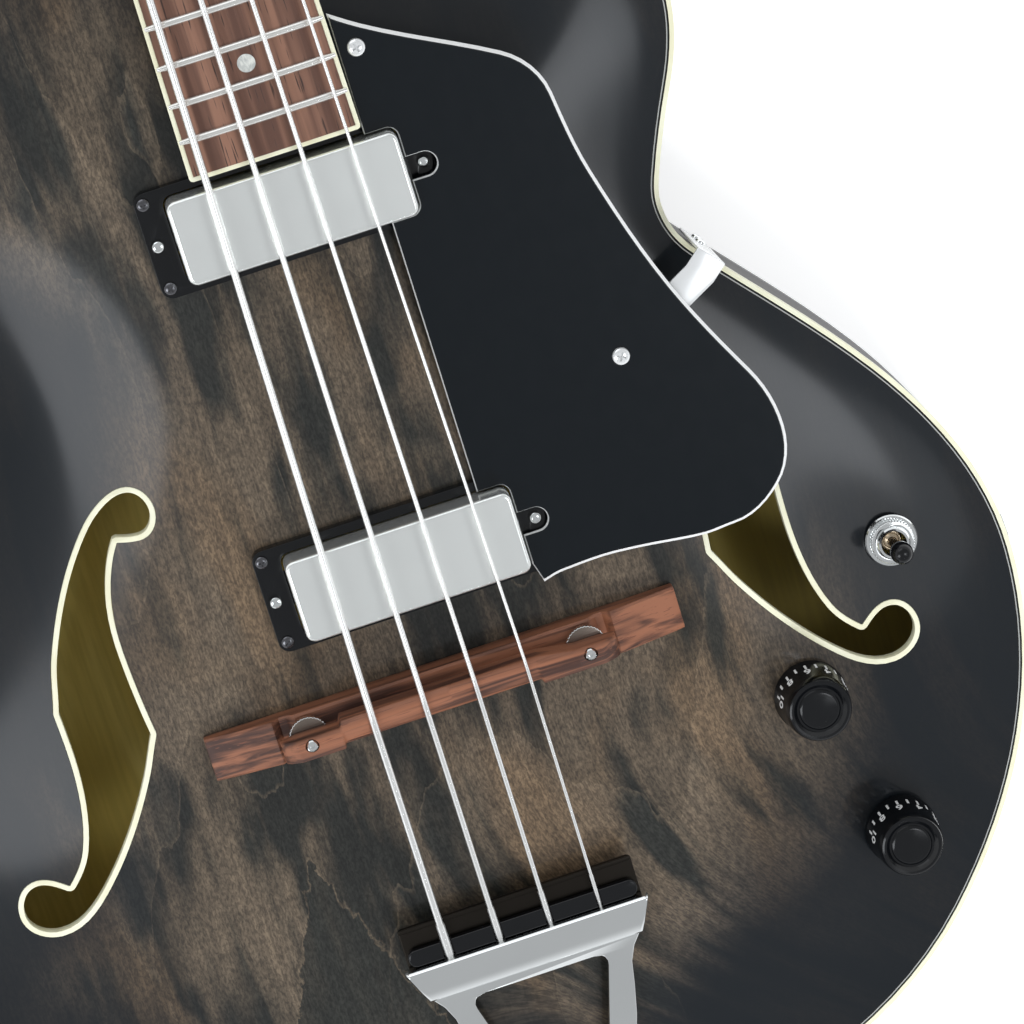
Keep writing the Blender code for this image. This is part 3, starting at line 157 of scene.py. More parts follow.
def inset(points, distance):
    """The closed line moved inwards, for points that run anticlockwise."""
    result = []
    count = len(points)
    for index in range(count):
        before = Vector(points[index - 1])
        here = Vector(points[index])
        after = Vector(points[(index + 1) % count])
        first = (here - before).normalized()
        second = (after - here).normalized()
        normal = Vector((-first.y - second.y, first.x + second.x)).normalized()
        spread = max(0.5, normal.dot(Vector((-first.y, first.x))))
        place = here + normal * distance / spread
        result.append((place.x, place.y))
    return result


def circle(radius, count, x=0.0, y=0.0):
    turns = [2 * math.pi * index / count for index in range(count)]
    return [(x + radius * math.cos(turn), y + radius * math.sin(turn)) for turn in turns]


def toothed(tips, valleys, teeth, per_tooth=2):
    """A toothed wheel's line between two radii."""
    line = []
    for index, (x, y) in enumerate(circle(1.0, teeth * per_tooth)):
        radius = tips if index % per_tooth < per_tooth / 2 else valleys
        line.append((radius * x, radius * y))
    return line


def rounded_rectangle(width, length, radius, x=0.0, y=0.0, steps=6):
    """A rectangle with round corners, anticlockwise."""
    points = []
    for corner, (sx, sy) in enumerate(((1, 1), (-1, 1), (-1, -1), (1, -1))):
        for step in range(steps + 1):
            turn = math.pi / 2 * (corner + step / steps)
            points.append((x + sx * (width / 2 - radius) + radius * math.cos(turn),
                           y + sy * (length / 2 - radius) + radius * math.sin(turn)))
    return points


def body_outline(fine=1):
    """Rim's outer line, anticlockwise from the tail end's middle."""
    half = LOWER_HALF
    waist = WAIST_HALF
    upper = UPPER_HALF
    lower_corner = (half - 0.0521, TAIL_Y + 0.0521)
    right = [
        (0.0, TAIL_Y, 0, 4), (*lower_corner, 47, 4), (half, LOWER_BOUT_Y, 90, 3),
        (half - 0.0281, LOWER_BOUT_Y + 0.0771, 125, 2), (waist + 0.0067, WAIST_Y - 0.0183, 130, 3),
        (waist, WAIST_Y, 90, 2), (waist + 0.0020, WAIST_Y + 0.0092, 70, 1),
        (upper - 0.0084, UPPER_BOUT_Y - 0.0315, 64, 2), (upper, UPPER_BOUT_Y, 90, 2),
        (upper - 0.0090, UPPER_BOUT_Y + 0.0330, 118, 3), (upper - 0.0330, CUTAWAY_Y + 0.0220, 180, 3),
        (upper - 0.0480, CUTAWAY_Y + 0.0105, 228, 2), (upper - 0.0740, CUTAWAY_Y, 172, 3),
        (SHOULDER_HALF + 0.0060, CUTAWAY_Y + 0.0170, 124, 2), (SHOULDER_HALF, CUTAWAY_Y + 0.0370, 90, 1),
        (SHOULDER_HALF, SHOULDER_Y, None, 1),
    ]
    left = [
        (-SHOULDER_HALF, SHOULDER_Y, 180, 1), (-upper + 0.0970, SHOULDER_Y, 180, 6),
        (-upper, UPPER_BOUT_Y, 270, 2),
        (-upper + 0.0084, UPPER_BOUT_Y - 0.0315, 296, 1), (-waist - 0.0020, WAIST_Y + 0.0092, 290, 2),
        (-waist, WAIST_Y, 270, 3), (-waist - 0.0067, WAIST_Y - 0.0183, 230, 2),
        (-half + 0.0281, LOWER_BOUT_Y + 0.0771, 235, 3), (-half, LOWER_BOUT_Y, 270, 4),
        (-lower_corner[0], lower_corner[1], 313, 4),
    ]
    return bent_path(right + left, fine)


def f_hole_outline(side, fine=3):
    """Outer line of one f-hole's binding; side is 1 for the thin strings' side and -1 for the other."""
    stops = [
        (0.0830, 0.0942, 180, 3), (0.0744, 0.0846, 270, 3), (0.0826, 0.0752, 0, 2), (0.0900, 0.0764, 15, 1),
        (0.0904, 0.0760, -55, 2), (0.0963, 0.0641, -70, 2), (0.0998, 0.0400, -91, 2),
        (0.0980, 0.0112, -96, 1), (0.0982, 0.0096, -62, 2), (0.1053, -0.0046, -60, 2),
        (0.1167, -0.0223, -54, 2), (0.1319, -0.0402, -45, 2), (0.1510, -0.0505, 0, 3),
        (0.1631, -0.0398, 90, 3), (0.1533, -0.0284, 180, 2), (0.1434, -0.0331, 218, 1),
        (0.1428, -0.0330, 135, 2), (0.1350, -0.0224, 113, 2), (0.1295, 0.0017, 95, 2),
        (0.1294, 0.0258, 88, 1), (0.1290, 0.0274, 108, 2), (0.1240, 0.0444, 112, 2),
        (0.1155, 0.0623, 119, 2), (0.1036, 0.0801, 129, 2), (0.0935, 0.0901, 146, 3),
    ]
    points = bent_path(stops, fine)
    if side < 0:
        points = [(-x, y) for x, y in reversed(points)]
    return points


# The arched surfaces

OUTLINE = body_outline()
FINE_OUTLINE = body_outline(4)


def edge_samples(per_side=8):
    starts = np.array(OUTLINE)
    ends = np.roll(starts, -1, axis=0)
    steps = (ends - starts) / per_side
    places = [starts + steps * (index + 0.5) for index in range(per_side)]
    return np.concatenate(places), np.tile(np.linalg.norm(steps, axis=1), per_side)


SAMPLE_PLACES, SAMPLE_LENGTHS = edge_samples()


def in_lots(work, points, lot=4000):
    return np.concatenate([work(points[start:start + lot]) for start in range(0, len(points), lot)])


def soft_distance(points):
    """A smooth measure of how far points lie from the body's outline."""
    def measure(some):
        gaps = np.linalg.norm(some[:, None, :] - SAMPLE_PLACES[None, :, :], axis=2)
        return np.sqrt(2.0 / np.sum(SAMPLE_LENGTHS / np.maximum(gaps, 0.001) ** 3, axis=1))

    return in_lots(measure, points)


def line_distance(points, line):
    """The true distance from points to a closed line."""
    starts = np.array(line)
    along = np.roll(starts, -1, axis=0) - starts

    def measure(some):
        offsets = some[:, None, :] - starts[None, :, :]
        share = np.clip(np.sum(offsets * along, axis=2) / np.sum(along * along, axis=1), 0, 1)
        return np.min(np.linalg.norm(offsets - share[..., None] * along, axis=2), axis=1)

    return in_lots(measure, points)


def arch_heights(points, rise, reach, edge_z):
    points = np.asarray(points, float).reshape(-1, 2)
    share = np.clip((soft_distance(points) - EDGE_FLAT) / (reach - EDGE_FLAT), 0, 1)
    return edge_z + rise * (0.5 - 0.5 * np.cos(math.pi * share))


def top_heights(points):
    return arch_heights(points, TOP_ARCH, TOP_REACH, RIM_TOP_Z)


def top_height(x, y):
    return float(top_heights([(x, y)])[0])


# Meshes

MERGE = 1e-6


def to_mesh(bm, name="shape"):
    bmesh.ops.recalc_face_normals(bm, faces=bm.faces)
    mesh = bpy.data.meshes.new(name)
    bm.to_mesh(mesh)
    bm.free()
    return mesh


def placed(mesh, matrix):
    mesh.transform(matrix)
    return mesh


def shifted(mesh, x, y, z):
    return placed(mesh, at(x, y, z))


def joined(meshes):
    bm = bmesh.new()
    for mesh in meshes:
        bm.from_mesh(mesh)
    result = bpy.data.meshes.new("joined")
    bm.to_mesh(result)
    bm.free()
    return result


def shaded(mesh, angle=35):
    """Smooth shading with edges kept where faces meet sharply."""
    mesh.shade_smooth()
    mesh.set_sharp_from_angle(angle=math.radians(angle))
    return mesh


def held(name, data):
    """A new object in the scene."""
    thing = bpy.data.objects.new(name, data)
    bpy.context.scene.collection.objects.link(thing)
    return thing


def plain_mesh(holder):
    """An object's finished mesh; the object itself goes."""
    ready = holder.evaluated_get(bpy.context.evaluated_depsgraph_get())
    mesh = bpy.data.meshes.new_from_object(ready)
    bpy.data.objects.remove(holder, do_unlink=True)
    return mesh


def evaluated(data, *modifiers):
    """The mesh of a mesh or a curve after modifiers, each a type and its settings."""
    holder = held("holder", data)
    for kind, settings in modifiers:
        step = holder.modifiers.new(kind.lower(), kind)
        for name, value in settings.items():
            setattr(step, name, value)
    return plain_mesh(holder)


def rounded(mesh, width, segments=2, angle=30):
    """Edges sharper than an angle turned into round ones."""
    settings = {"width": width, "segments": segments, "limit_method": "ANGLE"}
    settings.update(angle_limit=math.radians(angle), harden_normals=False)
    return evaluated(mesh, ("BEVEL", settings))


def cut(mesh, cutters, operation="DIFFERENCE", solver="EXACT"):
    """The mesh after Boolean steps with each cutter mesh."""
    tools = [held("cutter", cutter) for cutter in cutters]
    settings = {"operation": operation, "solver": solver}
    bpy.context.view_layer.update()
    result = evaluated(mesh, *[("BOOLEAN", {**settings, "object": tool}) for tool in tools])
    for tool in tools:
        bpy.data.objects.remove(tool, do_unlink=True)
    return result


def traced(lines, closed, lift, **settings):
    """The mesh of a curve along lines of points, its doubles merged."""
    curve = bpy.data.curves.new("line", "CURVE")
    for name, value in settings.items():
        setattr(curve, name, value)
    for line in lines:
        spline = curve.splines.new("POLY")
        spline.points.add(len(line) - 1)
        for point, place in zip(spline.points, line):
            point.co = (*place, 1)
        spline.use_cyclic_u = closed
    bm = bmesh.new()
    bm.from_mesh(evaluated(curve))
    bmesh.ops.remove_doubles(bm, verts=bm.verts, dist=MERGE)
    bmesh.ops.translate(bm, verts=bm.verts, vec=(0, 0, lift))
    return to_mesh(bm)


def slab(loops, low, high, edge=0.0):
    """A flat outline, with any holes, between two heights, its edges rounded by a radius."""
    lines = [[(x, y, 0) for x, y in loop] for loop in loops]
    return traced(lines, True, (low + high) / 2, dimensions="2D", fill_mode="BOTH",
                  extrude=(high - low) / 2 - edge, bevel_depth=edge, offset=-edge, bevel_resolution=2)


def wire(points, radius, resolution=3):
    """A round wire along points, with closed ends."""
    return traced([points], False, 0.0, dimensions="3D", bevel_depth=radius, bevel_resolution=resolution,
                  use_fill_caps=True)


def box(low, high):
    bm = bmesh.new()
    size = Vector(high) - Vector(low)
    centre = (Vector(high) + Vector(low)) / 2
    bmesh.ops.create_cube(bm, size=1, matrix=Matrix.Translation(centre) @ Matrix.Diagonal((*size, 1)))
    return to_mesh(bm)


def turned(profile, steps=48):
    """A profile of (radius, height) points turned about Z; a profile off the axis closes into a ring."""
    bm = bmesh.new()
    rings = []
    for radius, height in profile:
        count = 1 if radius == 0 else steps
        rings.append([bm.verts.new((radius * math.cos(2 * math.pi * index / steps),
                                    radius * math.sin(2 * math.pi * index / steps), height))
                      for index in range(count)])
    pairs = list(zip(rings, rings[1:]))
    if profile[0][0] > 0:
        pairs.append((rings[-1], rings[0]))
    for lower, upper in pairs:
        for index in range(steps):
            after = (index + 1) % steps
            corners = [lower[index % len(lower)], lower[after % len(lower)],
                       upper[after % len(upper)], upper[index % len(upper)]]
            corners = list(dict.fromkeys(corners))
            if len(corners) > 2:
                bm.faces.new(corners)
    return to_mesh(bm)


def sleeve(inner, outer, low, high, steps=24):
    """A ring, or a rod where the inner radius is 0."""
    return turned(((inner, low), (outer, low), (outer, high), (inner, high)), steps)


def lofted(sections):
    """A closed skin over sections with the same count of points."""
    bm = bmesh.new()
    rows = [[bm.verts.new(point) for point in section] for section in sections]
    count = len(rows[0])
    for row, following in zip(rows, rows[1:]):
        for index in range(count):
            after = (index + 1) % count
            bm.faces.new((row[index], row[after], following[after], following[index]))
    bm.faces.new(rows[0])
    bm.faces.new(rows[-1])
    return to_mesh(bm)


def add(name, mesh, finishes, body="body", solid=None):
    """A finished piece that moves with a body and may stand for a solid; no finish keeps its own."""
    if isinstance(finishes, bpy.types.Material):
        finishes = (finishes,)
    if finishes:
        share = np.zeros(len(mesh.polygons), dtype=np.int32)
        mesh.polygons.foreach_get("material_index", share)
        mesh.materials.clear()
        for finish in finishes:
            mesh.materials.append(finish)
        mesh.polygons.foreach_set("material_index", share)
    piece = held(name, mesh)
    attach(piece, body)
    if solid:
        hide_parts(solid)
    return piece


# Copies of a shape on points

def wired(tree, kinds, joins):
    """New nodes by name, each a kind and its settings, joined by (node, output, node, input)."""
    nodes = {}
    for name, (kind, settings) in kinds.items():
        nodes[name] = tree.nodes.new(kind)
        for setting, value in settings.items():
            setattr(nodes[name], setting, value)
    for source, way_out, target, way_in in joins:
        tree.links.new(nodes[source].outputs[way_out], nodes[target].inputs[way_in])
    return nodes


def set_out_tree():
    """Puts a shape on points that carry their own turn and size."""
    tree = bpy.data.node_groups.new("set_out", "GeometryNodeTree")
    inputs = {"Points": "Geometry", "Shape": "Object", "Finish": "Material", "Scale": "Float"}
    for name, kind in inputs.items():
        tree.interface.new_socket(name, in_out="INPUT", socket_type="NodeSocket" + kind)
    tree.interface.new_socket("Copies", in_out="OUTPUT", socket_type="NodeSocketGeometry")
    kinds = {
        "given": ("NodeGroupInput", {}),
        "result": ("NodeGroupOutput", {}),
        "shape": ("GeometryNodeObjectInfo", {}),
        "turn": ("GeometryNodeInputNamedAttribute", {"data_type": "FLOAT_VECTOR"}),
        "size": ("GeometryNodeInputNamedAttribute", {"data_type": "FLOAT_VECTOR"}),
        "scale": ("ShaderNodeVectorMath", {"operation": "SCALE"}),
        "copies": ("GeometryNodeInstanceOnPoints", {}),
        "real": ("GeometryNodeRealizeInstances", {}),
        "finish": ("GeometryNodeSetMaterial", {}),
    }
    joins = (
        ("given", "Shape", "shape", "Object"),
        ("given", "Points", "copies", "Points"),
        ("shape", "Geometry", "copies", "Instance"),
        ("turn", "Attribute", "copies", "Rotation"),
        ("size", "Attribute", "scale", 0),
        ("given", "Scale", "scale", "Scale"),
        ("scale", "Vector", "copies", "Scale"),
        ("copies", "Instances", "real", "Geometry"),
        ("real", "Geometry", "finish", "Geometry"),
        ("given", "Finish", "finish", "Material"),
        ("finish", "Geometry", "result", "Copies"),
    )
    nodes = wired(tree, kinds, joins)
    for name in ("turn", "size"):
        nodes[name].inputs["Name"].default_value = name
    return tree


SET_OUT = set_out_tree()


def set_out(name, shape, places, finish, body="body", scale=1.0):
    """One piece made of copies of a shape; each place is a matrix, or a matrix and a size."""
    pairs = [place if isinstance(place, tuple) else (place, (1, 1, 1)) for place in places]
    points = bpy.data.meshes.new("points")
    points.from_pydata([matrix.translation for matrix, _ in pairs], [], [])
    turn = points.attributes.new("turn", "FLOAT_VECTOR", "POINT")
    size = points.attributes.new("size", "FLOAT_VECTOR", "POINT")
    for index, (matrix, stretch) in enumerate(pairs):
        turn.data[index].vector = matrix.to_euler()
        size.data[index].vector = stretch
    holder = held("shape", shape)
    carrier = held("carrier", points)
    step = carrier.modifiers.new("set_out", "NODES")
    step.node_group = SET_OUT
    sockets = {item.name: item.identifier for item in SET_OUT.interface.items_tree if item.in_out == "INPUT"}
    step[sockets["Shape"]] = holder
    step[sockets["Finish"]] = finish
    step[sockets["Scale"]] = scale
    mesh = plain_mesh(carrier)
    bpy.data.objects.remove(holder, do_unlink=True)
    return add(name, mesh, (), body)


# Finishes

class Finish:
    """A Principled material and short ways to add to its nodes."""

    def __init__(self, name, colour, roughness, metallic=0.0, coat=0.0, coat_roughness=0.05, gloss=0.5):
        self.material = bpy.data.materials.new(name)
        self.material.use_nodes = True
        self.nodes = self.material.node_tree.nodes
        self.links = self.material.node_tree.links
        self.shader = self.nodes["Principled BSDF"]
        self.shader.inputs["Base Color"].default_value = (*colour, 1)
        self.shader.inputs["Roughness"].default_value = roughness
        self.shader.inputs["Metallic"].default_value = metallic
        self.shader.inputs["Coat Weight"].default_value = coat
        self.shader.inputs["Coat Roughness"].default_value = coat_roughness
        self.shader.inputs["Specular IOR Level"].default_value = gloss

    def feed(self, socket, value):
        if isinstance(value, bpy.types.NodeSocket):
            self.links.new(value, socket)
        elif isinstance(value, tuple) and len(value) == 3 and len(socket.default_value) == 4:
            socket.default_value = (*value, 1)
        else:
            socket.default_value = value

    def node(self, kind, inputs=None, **settings):
        made = self.nodes.new(kind)
        for name, value in settings.items():
            setattr(made, name, value)
        for name, value in (inputs or {}).items():
            self.feed(made.inputs[name], value)
        return made

    def place(self, stretch=(1, 1, 1), of=None):
        """Object coordinates, or another vector, stretched."""
        if of is None:
            of = self.node("ShaderNodeTexCoord").outputs["Object"]
        return self.node("ShaderNodeMapping", {"Vector": of, "Scale": stretch}).outputs[0]

    def noise(self, stretch, detail=2.0, distortion=0.0, roughness=0.5, of=None):
        inputs = {"Vector": self.place(stretch, of), "Scale": 1.0, "Detail": detail,
                  "Distortion": distortion, "Roughness": roughness}
        return self.node("ShaderNodeTexNoise", inputs).outputs["Fac"]

    def beyond(self, normal, start):
        """How far a point lies on the normal's side of a straight line."""
        across = self.node("ShaderNodeVectorMath", {0: self.place(), 1: normal}, operation="DOT_PRODUCT")
        return self.minus(across.outputs["Value"], Vector(normal).dot(Vector(start)))

    def attribute(self, name):
        return self.node("ShaderNodeAttribute", attribute_name=name).outputs["Fac"]

    def maths(self, operation, first, second=0.0):
        return self.node("ShaderNodeMath", {0: first, 1: second}, operation=operation).outputs[0]

    def times(self, first, second):
        return self.maths("MULTIPLY", first, second)

    def plus(self, first, second):
        return self.maths("ADD", first, second)

    def minus(self, first, second):
        return self.maths("SUBTRACT", first, second)

    def tinted(self, first, second):
        """Two colours multiplied."""
        return self.mix(1.0, first, second, "MULTIPLY")

    def span(self, value, low, high, to_low=0.0, to_high=1.0):
        """The value's range moved to another, smoothly and within its ends."""
        inputs = {"Value": value, "From Min": low, "From Max": high, "To Min": to_low, "To Max": to_high}
        return self.node("ShaderNodeMapRange", inputs, interpolation_type="SMOOTHSTEP").outputs["Result"]

    def mix(self, share, first, second, blend="MIX"):
        made = self.node("ShaderNodeMix", data_type="RGBA", blend_type=blend)
        self.feed(made.inputs[0], share)
        self.feed(made.inputs[6], first)
        self.feed(made.inputs[7], second)
        return made.outputs[2]

    def colour(self, value):
        self.feed(self.shader.inputs["Base Color"], value)

    def rough(self, value):
        self.feed(self.shader.inputs["Roughness"], value)

    def bump(self, height, distance, strength=1.0):
        inputs = {"Height": height, "Distance": distance, "Strength": strength}
        made = self.node("ShaderNodeBump", inputs)
        self.links.new(made.outputs["Normal"], self.shader.inputs["Normal"])


def wood_grain(finish, dark, light, figure, pores):
    """Grain that runs along Y: broad figure, growth lines and fine pores."""
    broad = finish.noise(figure, 3.0, 0.9)
    lines = finish.maths("FRACT", finish.times(broad, 13.0))
    lines = finish.span(lines, 0.0, 0.55)
    patches = finish.noise((figure[0] * 1.7, figure[1] * 0.8, 1), 2.0, 0.4)
    patches = finish.span(patches, 0.36, 0.64)
    share = finish.maths("MULTIPLY_ADD", lines, 0.42)
    finish.links.new(finish.times(patches, 0.58), share.node.inputs[2])
    tone = finish.mix(share, dark, light)
    fine = finish.span(finish.noise(pores, 3.0), 0.38, 0.66)
    shade = finish.mix(fine, (0.62, 0.60, 0.58), (1.12, 1.12, 1.12))
    return finish.tinted(tone, shade), fine


def stained_maple(name, with_lines):
    """Brown stained maple, soft black clouds and ragged growth lines, nearly black towards the edge."""
    finish = Finish(name, (0.1, 0.07, 0.045), 0.45, coat=0.55, coat_roughness=0.12, gloss=0.2)
    parts = finish.node("ShaderNodeSeparateXYZ", {0: finish.place()}).outputs
    low = finish.maths("MINIMUM", finish.plus(parts[1], 0.03), 0.0)
    sway = finish.times(finish.times(low, low), finish.span(parts[0], -0.05, 0.01, 0, 4.0))
    across = finish.minus(parts[0], sway)
    swept = finish.node("ShaderNodeCombineXYZ", {0: across, 1: parts[1], 2: parts[2]}).outputs[0]
    wide = finish.noise((26, 10, 1), 3.0, 0.5, of=swept)
    narrow = finish.noise((80, 15, 1), 3.0, 0.4, of=swept)
    cloud = finish.plus(finish.times(wide, 0.55), finish.times(narrow, 0.45))
    tone = finish.mix(finish.span(cloud, 0.425, 0.555), (0.019, 0.020, 0.0175), (0.116, 0.089, 0.062))
    warm = finish.span(finish.noise((17, 9, 1), 3.0, 0.4), 0.50, 0.66, 0, 0.8)
    tone = finish.mix(warm, tone, finish.tinted(tone, (1.36, 1.20, 1.02)))
    growth = finish.noise((9, 2.6, 1), 2.0, 0.2)
    ragged = finish.times(finish.noise((140, 45, 1), 3.0, 0.2), 0.026)
    steps = finish.maths("FRACT", finish.times(finish.plus(growth, ragged), 8.0))
    tone = finish.tinted(tone, finish.span(steps, 0.0, 1.0, 1.12, 0.84))
    tone = finish.mix(finish.span(steps, 0.008, 0.025, 0.30, 0.0), tone, (0.150, 0.115, 0.078))
    rough_edge = finish.times(finish.noise((230, 110, 1), 4.0, 0.6, 0.6), 0.008)
    sides = [finish.beyond((0.93, -0.36, 0), (-0.0700, -0.0690, 0)),
             finish.beyond((-0.93, -0.36, 0), (-0.0560, -0.0690, 0))]
    flame = finish.plus(finish.maths("MINIMUM", *sides), finish.minus(rough_edge, 0.0040))
    inside = finish.span(flame, -0.0001, 0.0004)
    near = finish.times(finish.span(flame, -0.0010, -0.0003), finish.minus(1.0, inside))
    tone = finish.mix(finish.times(near, 0.45), tone, (0.150, 0.115, 0.078))
    tone = finish.mix(finish.times(inside, 0.85), tone, (0.021, 0.022, 0.019))
    fine = finish.span(finish.noise((950, 34, 60), 3.0, 0.2, 0.6, swept), 0.40, 0.60)
    specks = finish.span(finish.noise((1300, 520, 60), 3.0, 0.4, 0.65, swept), 0.38, 0.60)
    mottle = finish.span(finish.noise((360, 170, 60), 3.0, 0.3, 0.7), 0.34, 0.66)
    tone = finish.tinted(tone, finish.mix(fine, (0.84, 0.84, 0.85), (1.12, 1.12, 1.11)))
    tone = finish.tinted(tone, finish.mix(specks, (0.66, 0.66, 0.67), (1.24, 1.23, 1.22)))
    tone = finish.tinted(tone, finish.mix(mottle, (0.80, 0.80, 0.81), (1.18, 1.17, 1.16)))
    depth = finish.attribute("depth")
    drift = finish.noise((11, 7, 4), 2.0)
    depth = finish.plus(depth, finish.span(drift, 0.2, 0.8, -0.012, 0.012))
    far_end = finish.span(parts[1], 0.13, 0.20, 0, 0.032)
    ends = finish.plus(far_end, finish.span(parts[1], -0.08, -0.03, 0.018, 0))
    reach = finish.times(finish.span(parts[0], -0.05, 0.0, 1, 0), ends)
    reach = finish.minus(reach, finish.span(parts[0], 0.02, 0.09, 0, 0.014))
    burst = finish.span(finish.plus(depth, reach), 0.036, 0.084)
    tone = finish.mix(burst, finish.mix(0.03, (0.0014, 0.0040, 0.0070), tone), tone)
    if with_lines:
        edge = finish.attribute("edge")
        outer = BINDING_WIDTH + GAP
        line = 0.0004
        black = (0.004, 0.004, 0.004)
        for count, colour in enumerate((black, (0.40, 0.41, 0.39), black)):
            above = finish.maths("GREATER_THAN", edge, outer + count * line)
            below = finish.maths("LESS_THAN", edge, outer + (count + 1) * line)
            tone = finish.mix(finish.times(above, below), tone, colour)
    finish.colour(tone)
    finish.bump(fine, 0.00003, 0.2)
    return finish.material


def dark_lacquer():
    finish = Finish("dark_lacquer", (0.02, 0.02, 0.02), 0.5, coat=0.12, coat_roughness=0.2, gloss=0.25)
    dark = (0.006, 0.006, 0.007)
    light = (0.020, 0.017, 0.016)
    tone, fine = wood_grain(finish, dark, light, (12, 9, 30), (300, 60, 500))
    finish.colour(tone)
    finish.bump(fine, 0.00003, 0.2)
    return finish.material


def cream_plastic():
    finish = Finish("cream_plastic", (0.84, 0.81, 0.56), 0.35, gloss=0.35)
    cloud = finish.span(finish.noise((90, 60, 90), 3.0), 0.3, 0.7)
    finish.colour(finish.mix(cloud, (0.84, 0.81, 0.58), (0.91, 0.90, 0.70)))
    finish.rough(finish.span(cloud, 0, 1, 0.28, 0.38))
    return finish.material


def bare_wood():
    finish = Finish("bare_wood", (0.6, 0.52, 0.2), 0.8, gloss=0.2)
    broad = finish.span(finish.noise((40, 9, 18), 2.0, 0.5), 0.3, 0.7)
    fine = finish.span(finish.noise((500, 30, 400), 2.0), 0.3, 0.7)
    tone = finish.mix(broad, (0.68, 0.53, 0.13), (0.84, 0.71, 0.24))
    # Painted shade: from x 0.105 to 0.122 the wood turns darker, standing for the shade inside the treble
    # f-hole.
    across = finish.node("ShaderNodeSeparateXYZ", {0: finish.place()}).outputs[0]
    tone = finish.mix(finish.span(across, 0.105, 0.122), tone, (0.36, 0.28, 0.08))
    finish.colour(finish.mix(finish.times(fine, 0.35), tone, (0.50, 0.39, 0.09)))
    finish.bump(fine, 0.00004, 0.25)
    return finish.material


def rosewood():
    finish = Finish("rosewood", (0.2, 0.09, 0.06), 0.5)
    streaks = finish.noise((260, 7, 30), 4.0, 0.6)
    broad = finish.noise((70, 3, 20), 2.0, 0.5)
    share = finish.plus(finish.times(streaks, 0.45), finish.times(broad, 0.55))
    tone = finish.mix(finish.span(share, 0.38, 0.58), (0.105, 0.047, 0.031), (0.285, 0.142, 0.092))
    pores = finish.noise((1500, 60, 300), 2.0)
    tone = finish.mix(finish.span(pores, 0.62, 0.70), tone, (0.045, 0.022, 0.016))
    finish.colour(tone)
    finish.bump(finish.span(pores, 0.55, 0.72, 1, 0), 0.00008, 0.6)
    return finish.material


def bridge_wood():
    finish = Finish("bridge_wood", (0.36, 0.14, 0.06), 0.48)
    streaks = finish.noise((16, 420, 260), 4.0, 0.8)
    broad = finish.noise((9, 90, 120), 2.0, 0.6)
    share = finish.plus(finish.times(streaks, 0.4), finish.times(broad, 0.6))
    tone = finish.mix(finish.span(share, 0.40, 0.56), (0.052, 0.020, 0.013), (0.300, 0.116, 0.060))
    pores = finish.noise((90, 1800, 900), 2.0)
    tone = finish.mix(finish.span(pores, 0.62, 0.72), tone, (0.16, 0.055, 0.03))
    finish.colour(tone)
    finish.bump(pores, 0.00006, 0.4)
    return finish.material


def black_plastic(name, tone, roughness, gloss=0.5, spread=0.04):
    finish = Finish(name, tone, roughness, gloss=gloss)
    haze = finish.noise((160, 120, 160), 3.0)
    finish.rough(finish.span(haze, 0.3, 0.7, roughness - spread, roughness + spread))
    finish.bump(finish.noise((2600, 2600, 2600), 2.0), 0.00001, 0.15)
    return finish.material


def plain_metal(name, tone, roughness, spread=0.02, metallic=1.0):
    """A metal whose polish varies a little, as handling leaves it."""
    finish = Finish(name, tone, roughness, metallic=metallic)
    haze = finish.noise((120, 90, 120), 4.0)
    finish.rough(finish.span(haze, 0.3, 0.7, roughness - spread, roughness + spread))
    cloud = finish.span(finish.noise((45, 45, 45), 2.0), 0.25, 0.75)
    darker = tuple(value * 0.97 for value in tone)
    finish.colour(finish.mix(cloud, darker, tone))
    return finish.material


def wound_metal():
    """Flat-wound wire, with its turns as fine lines across the string."""
    finish = Finish("wound_wire", (0.90, 0.89, 0.87), 0.22, metallic=0.75)
    turns = finish.node("ShaderNodeTexWave", {"Vector": finish.place(), "Scale": 900.0},
                        wave_type="BANDS", bands_direction="Y").outputs["Fac"]
    finish.bump(turns, 0.00002, 0.15)
    finish.colour(finish.mix(finish.span(turns, 0, 1), (0.88, 0.88, 0.86), (0.97, 0.97, 0.96)))
    return finish.material


def bone():
    finish = Finish("bone", (0.82, 0.78, 0.66), 0.4)
    cloud = finish.span(finish.noise((120, 400, 120), 3.0), 0.3, 0.7)
    finish.colour(finish.mix(cloud, (0.74, 0.69, 0.55), (0.86, 0.83, 0.72)))
    return finish.material


def pearl():
    finish = Finish("pearl_dot", (0.62, 0.63, 0.60), 0.25, coat=0.5)
    sheen = finish.span(finish.noise((500, 300, 500), 3.0, 1.5), 0.3, 0.7)
    finish.colour(finish.mix(sheen, (0.46, 0.48, 0.46), (0.74, 0.75, 0.70)))
    return finish.material


TOP_WOOD = stained_maple("stained_maple_top", True)
BACK_WOOD = stained_maple("stained_maple_back", False)
DARK = dark_lacquer()
CREAM = cream_plastic()
BARE = bare_wood()
ROSEWOOD = rosewood()
BRIDGE_WOOD = bridge_wood()
BLACK = black_plastic("gloss_black_plastic", (0.0025, 0.003, 0.004), 0.16, 0.4)
GUARD_BLACK = black_plastic("guard_black_plastic", (0.0010, 0.0032, 0.0055), 0.22, 0.35, 0.012)
WHITE = black_plastic("white_plastic", (0.88, 0.88, 0.87), 0.35)
CHROME = plain_metal("chrome", (0.86, 0.88, 0.88), 0.10)
SATIN = plain_metal("satin_nickel", (0.92, 0.94, 0.92), 0.24, 0.004, metallic=0.8)
NICKEL = plain_metal("nickel", (0.90, 0.89, 0.85), 0.22, metallic=0.8)
BLACKENED = plain_metal("blackened_steel", (0.15, 0.15, 0.16), 0.22)
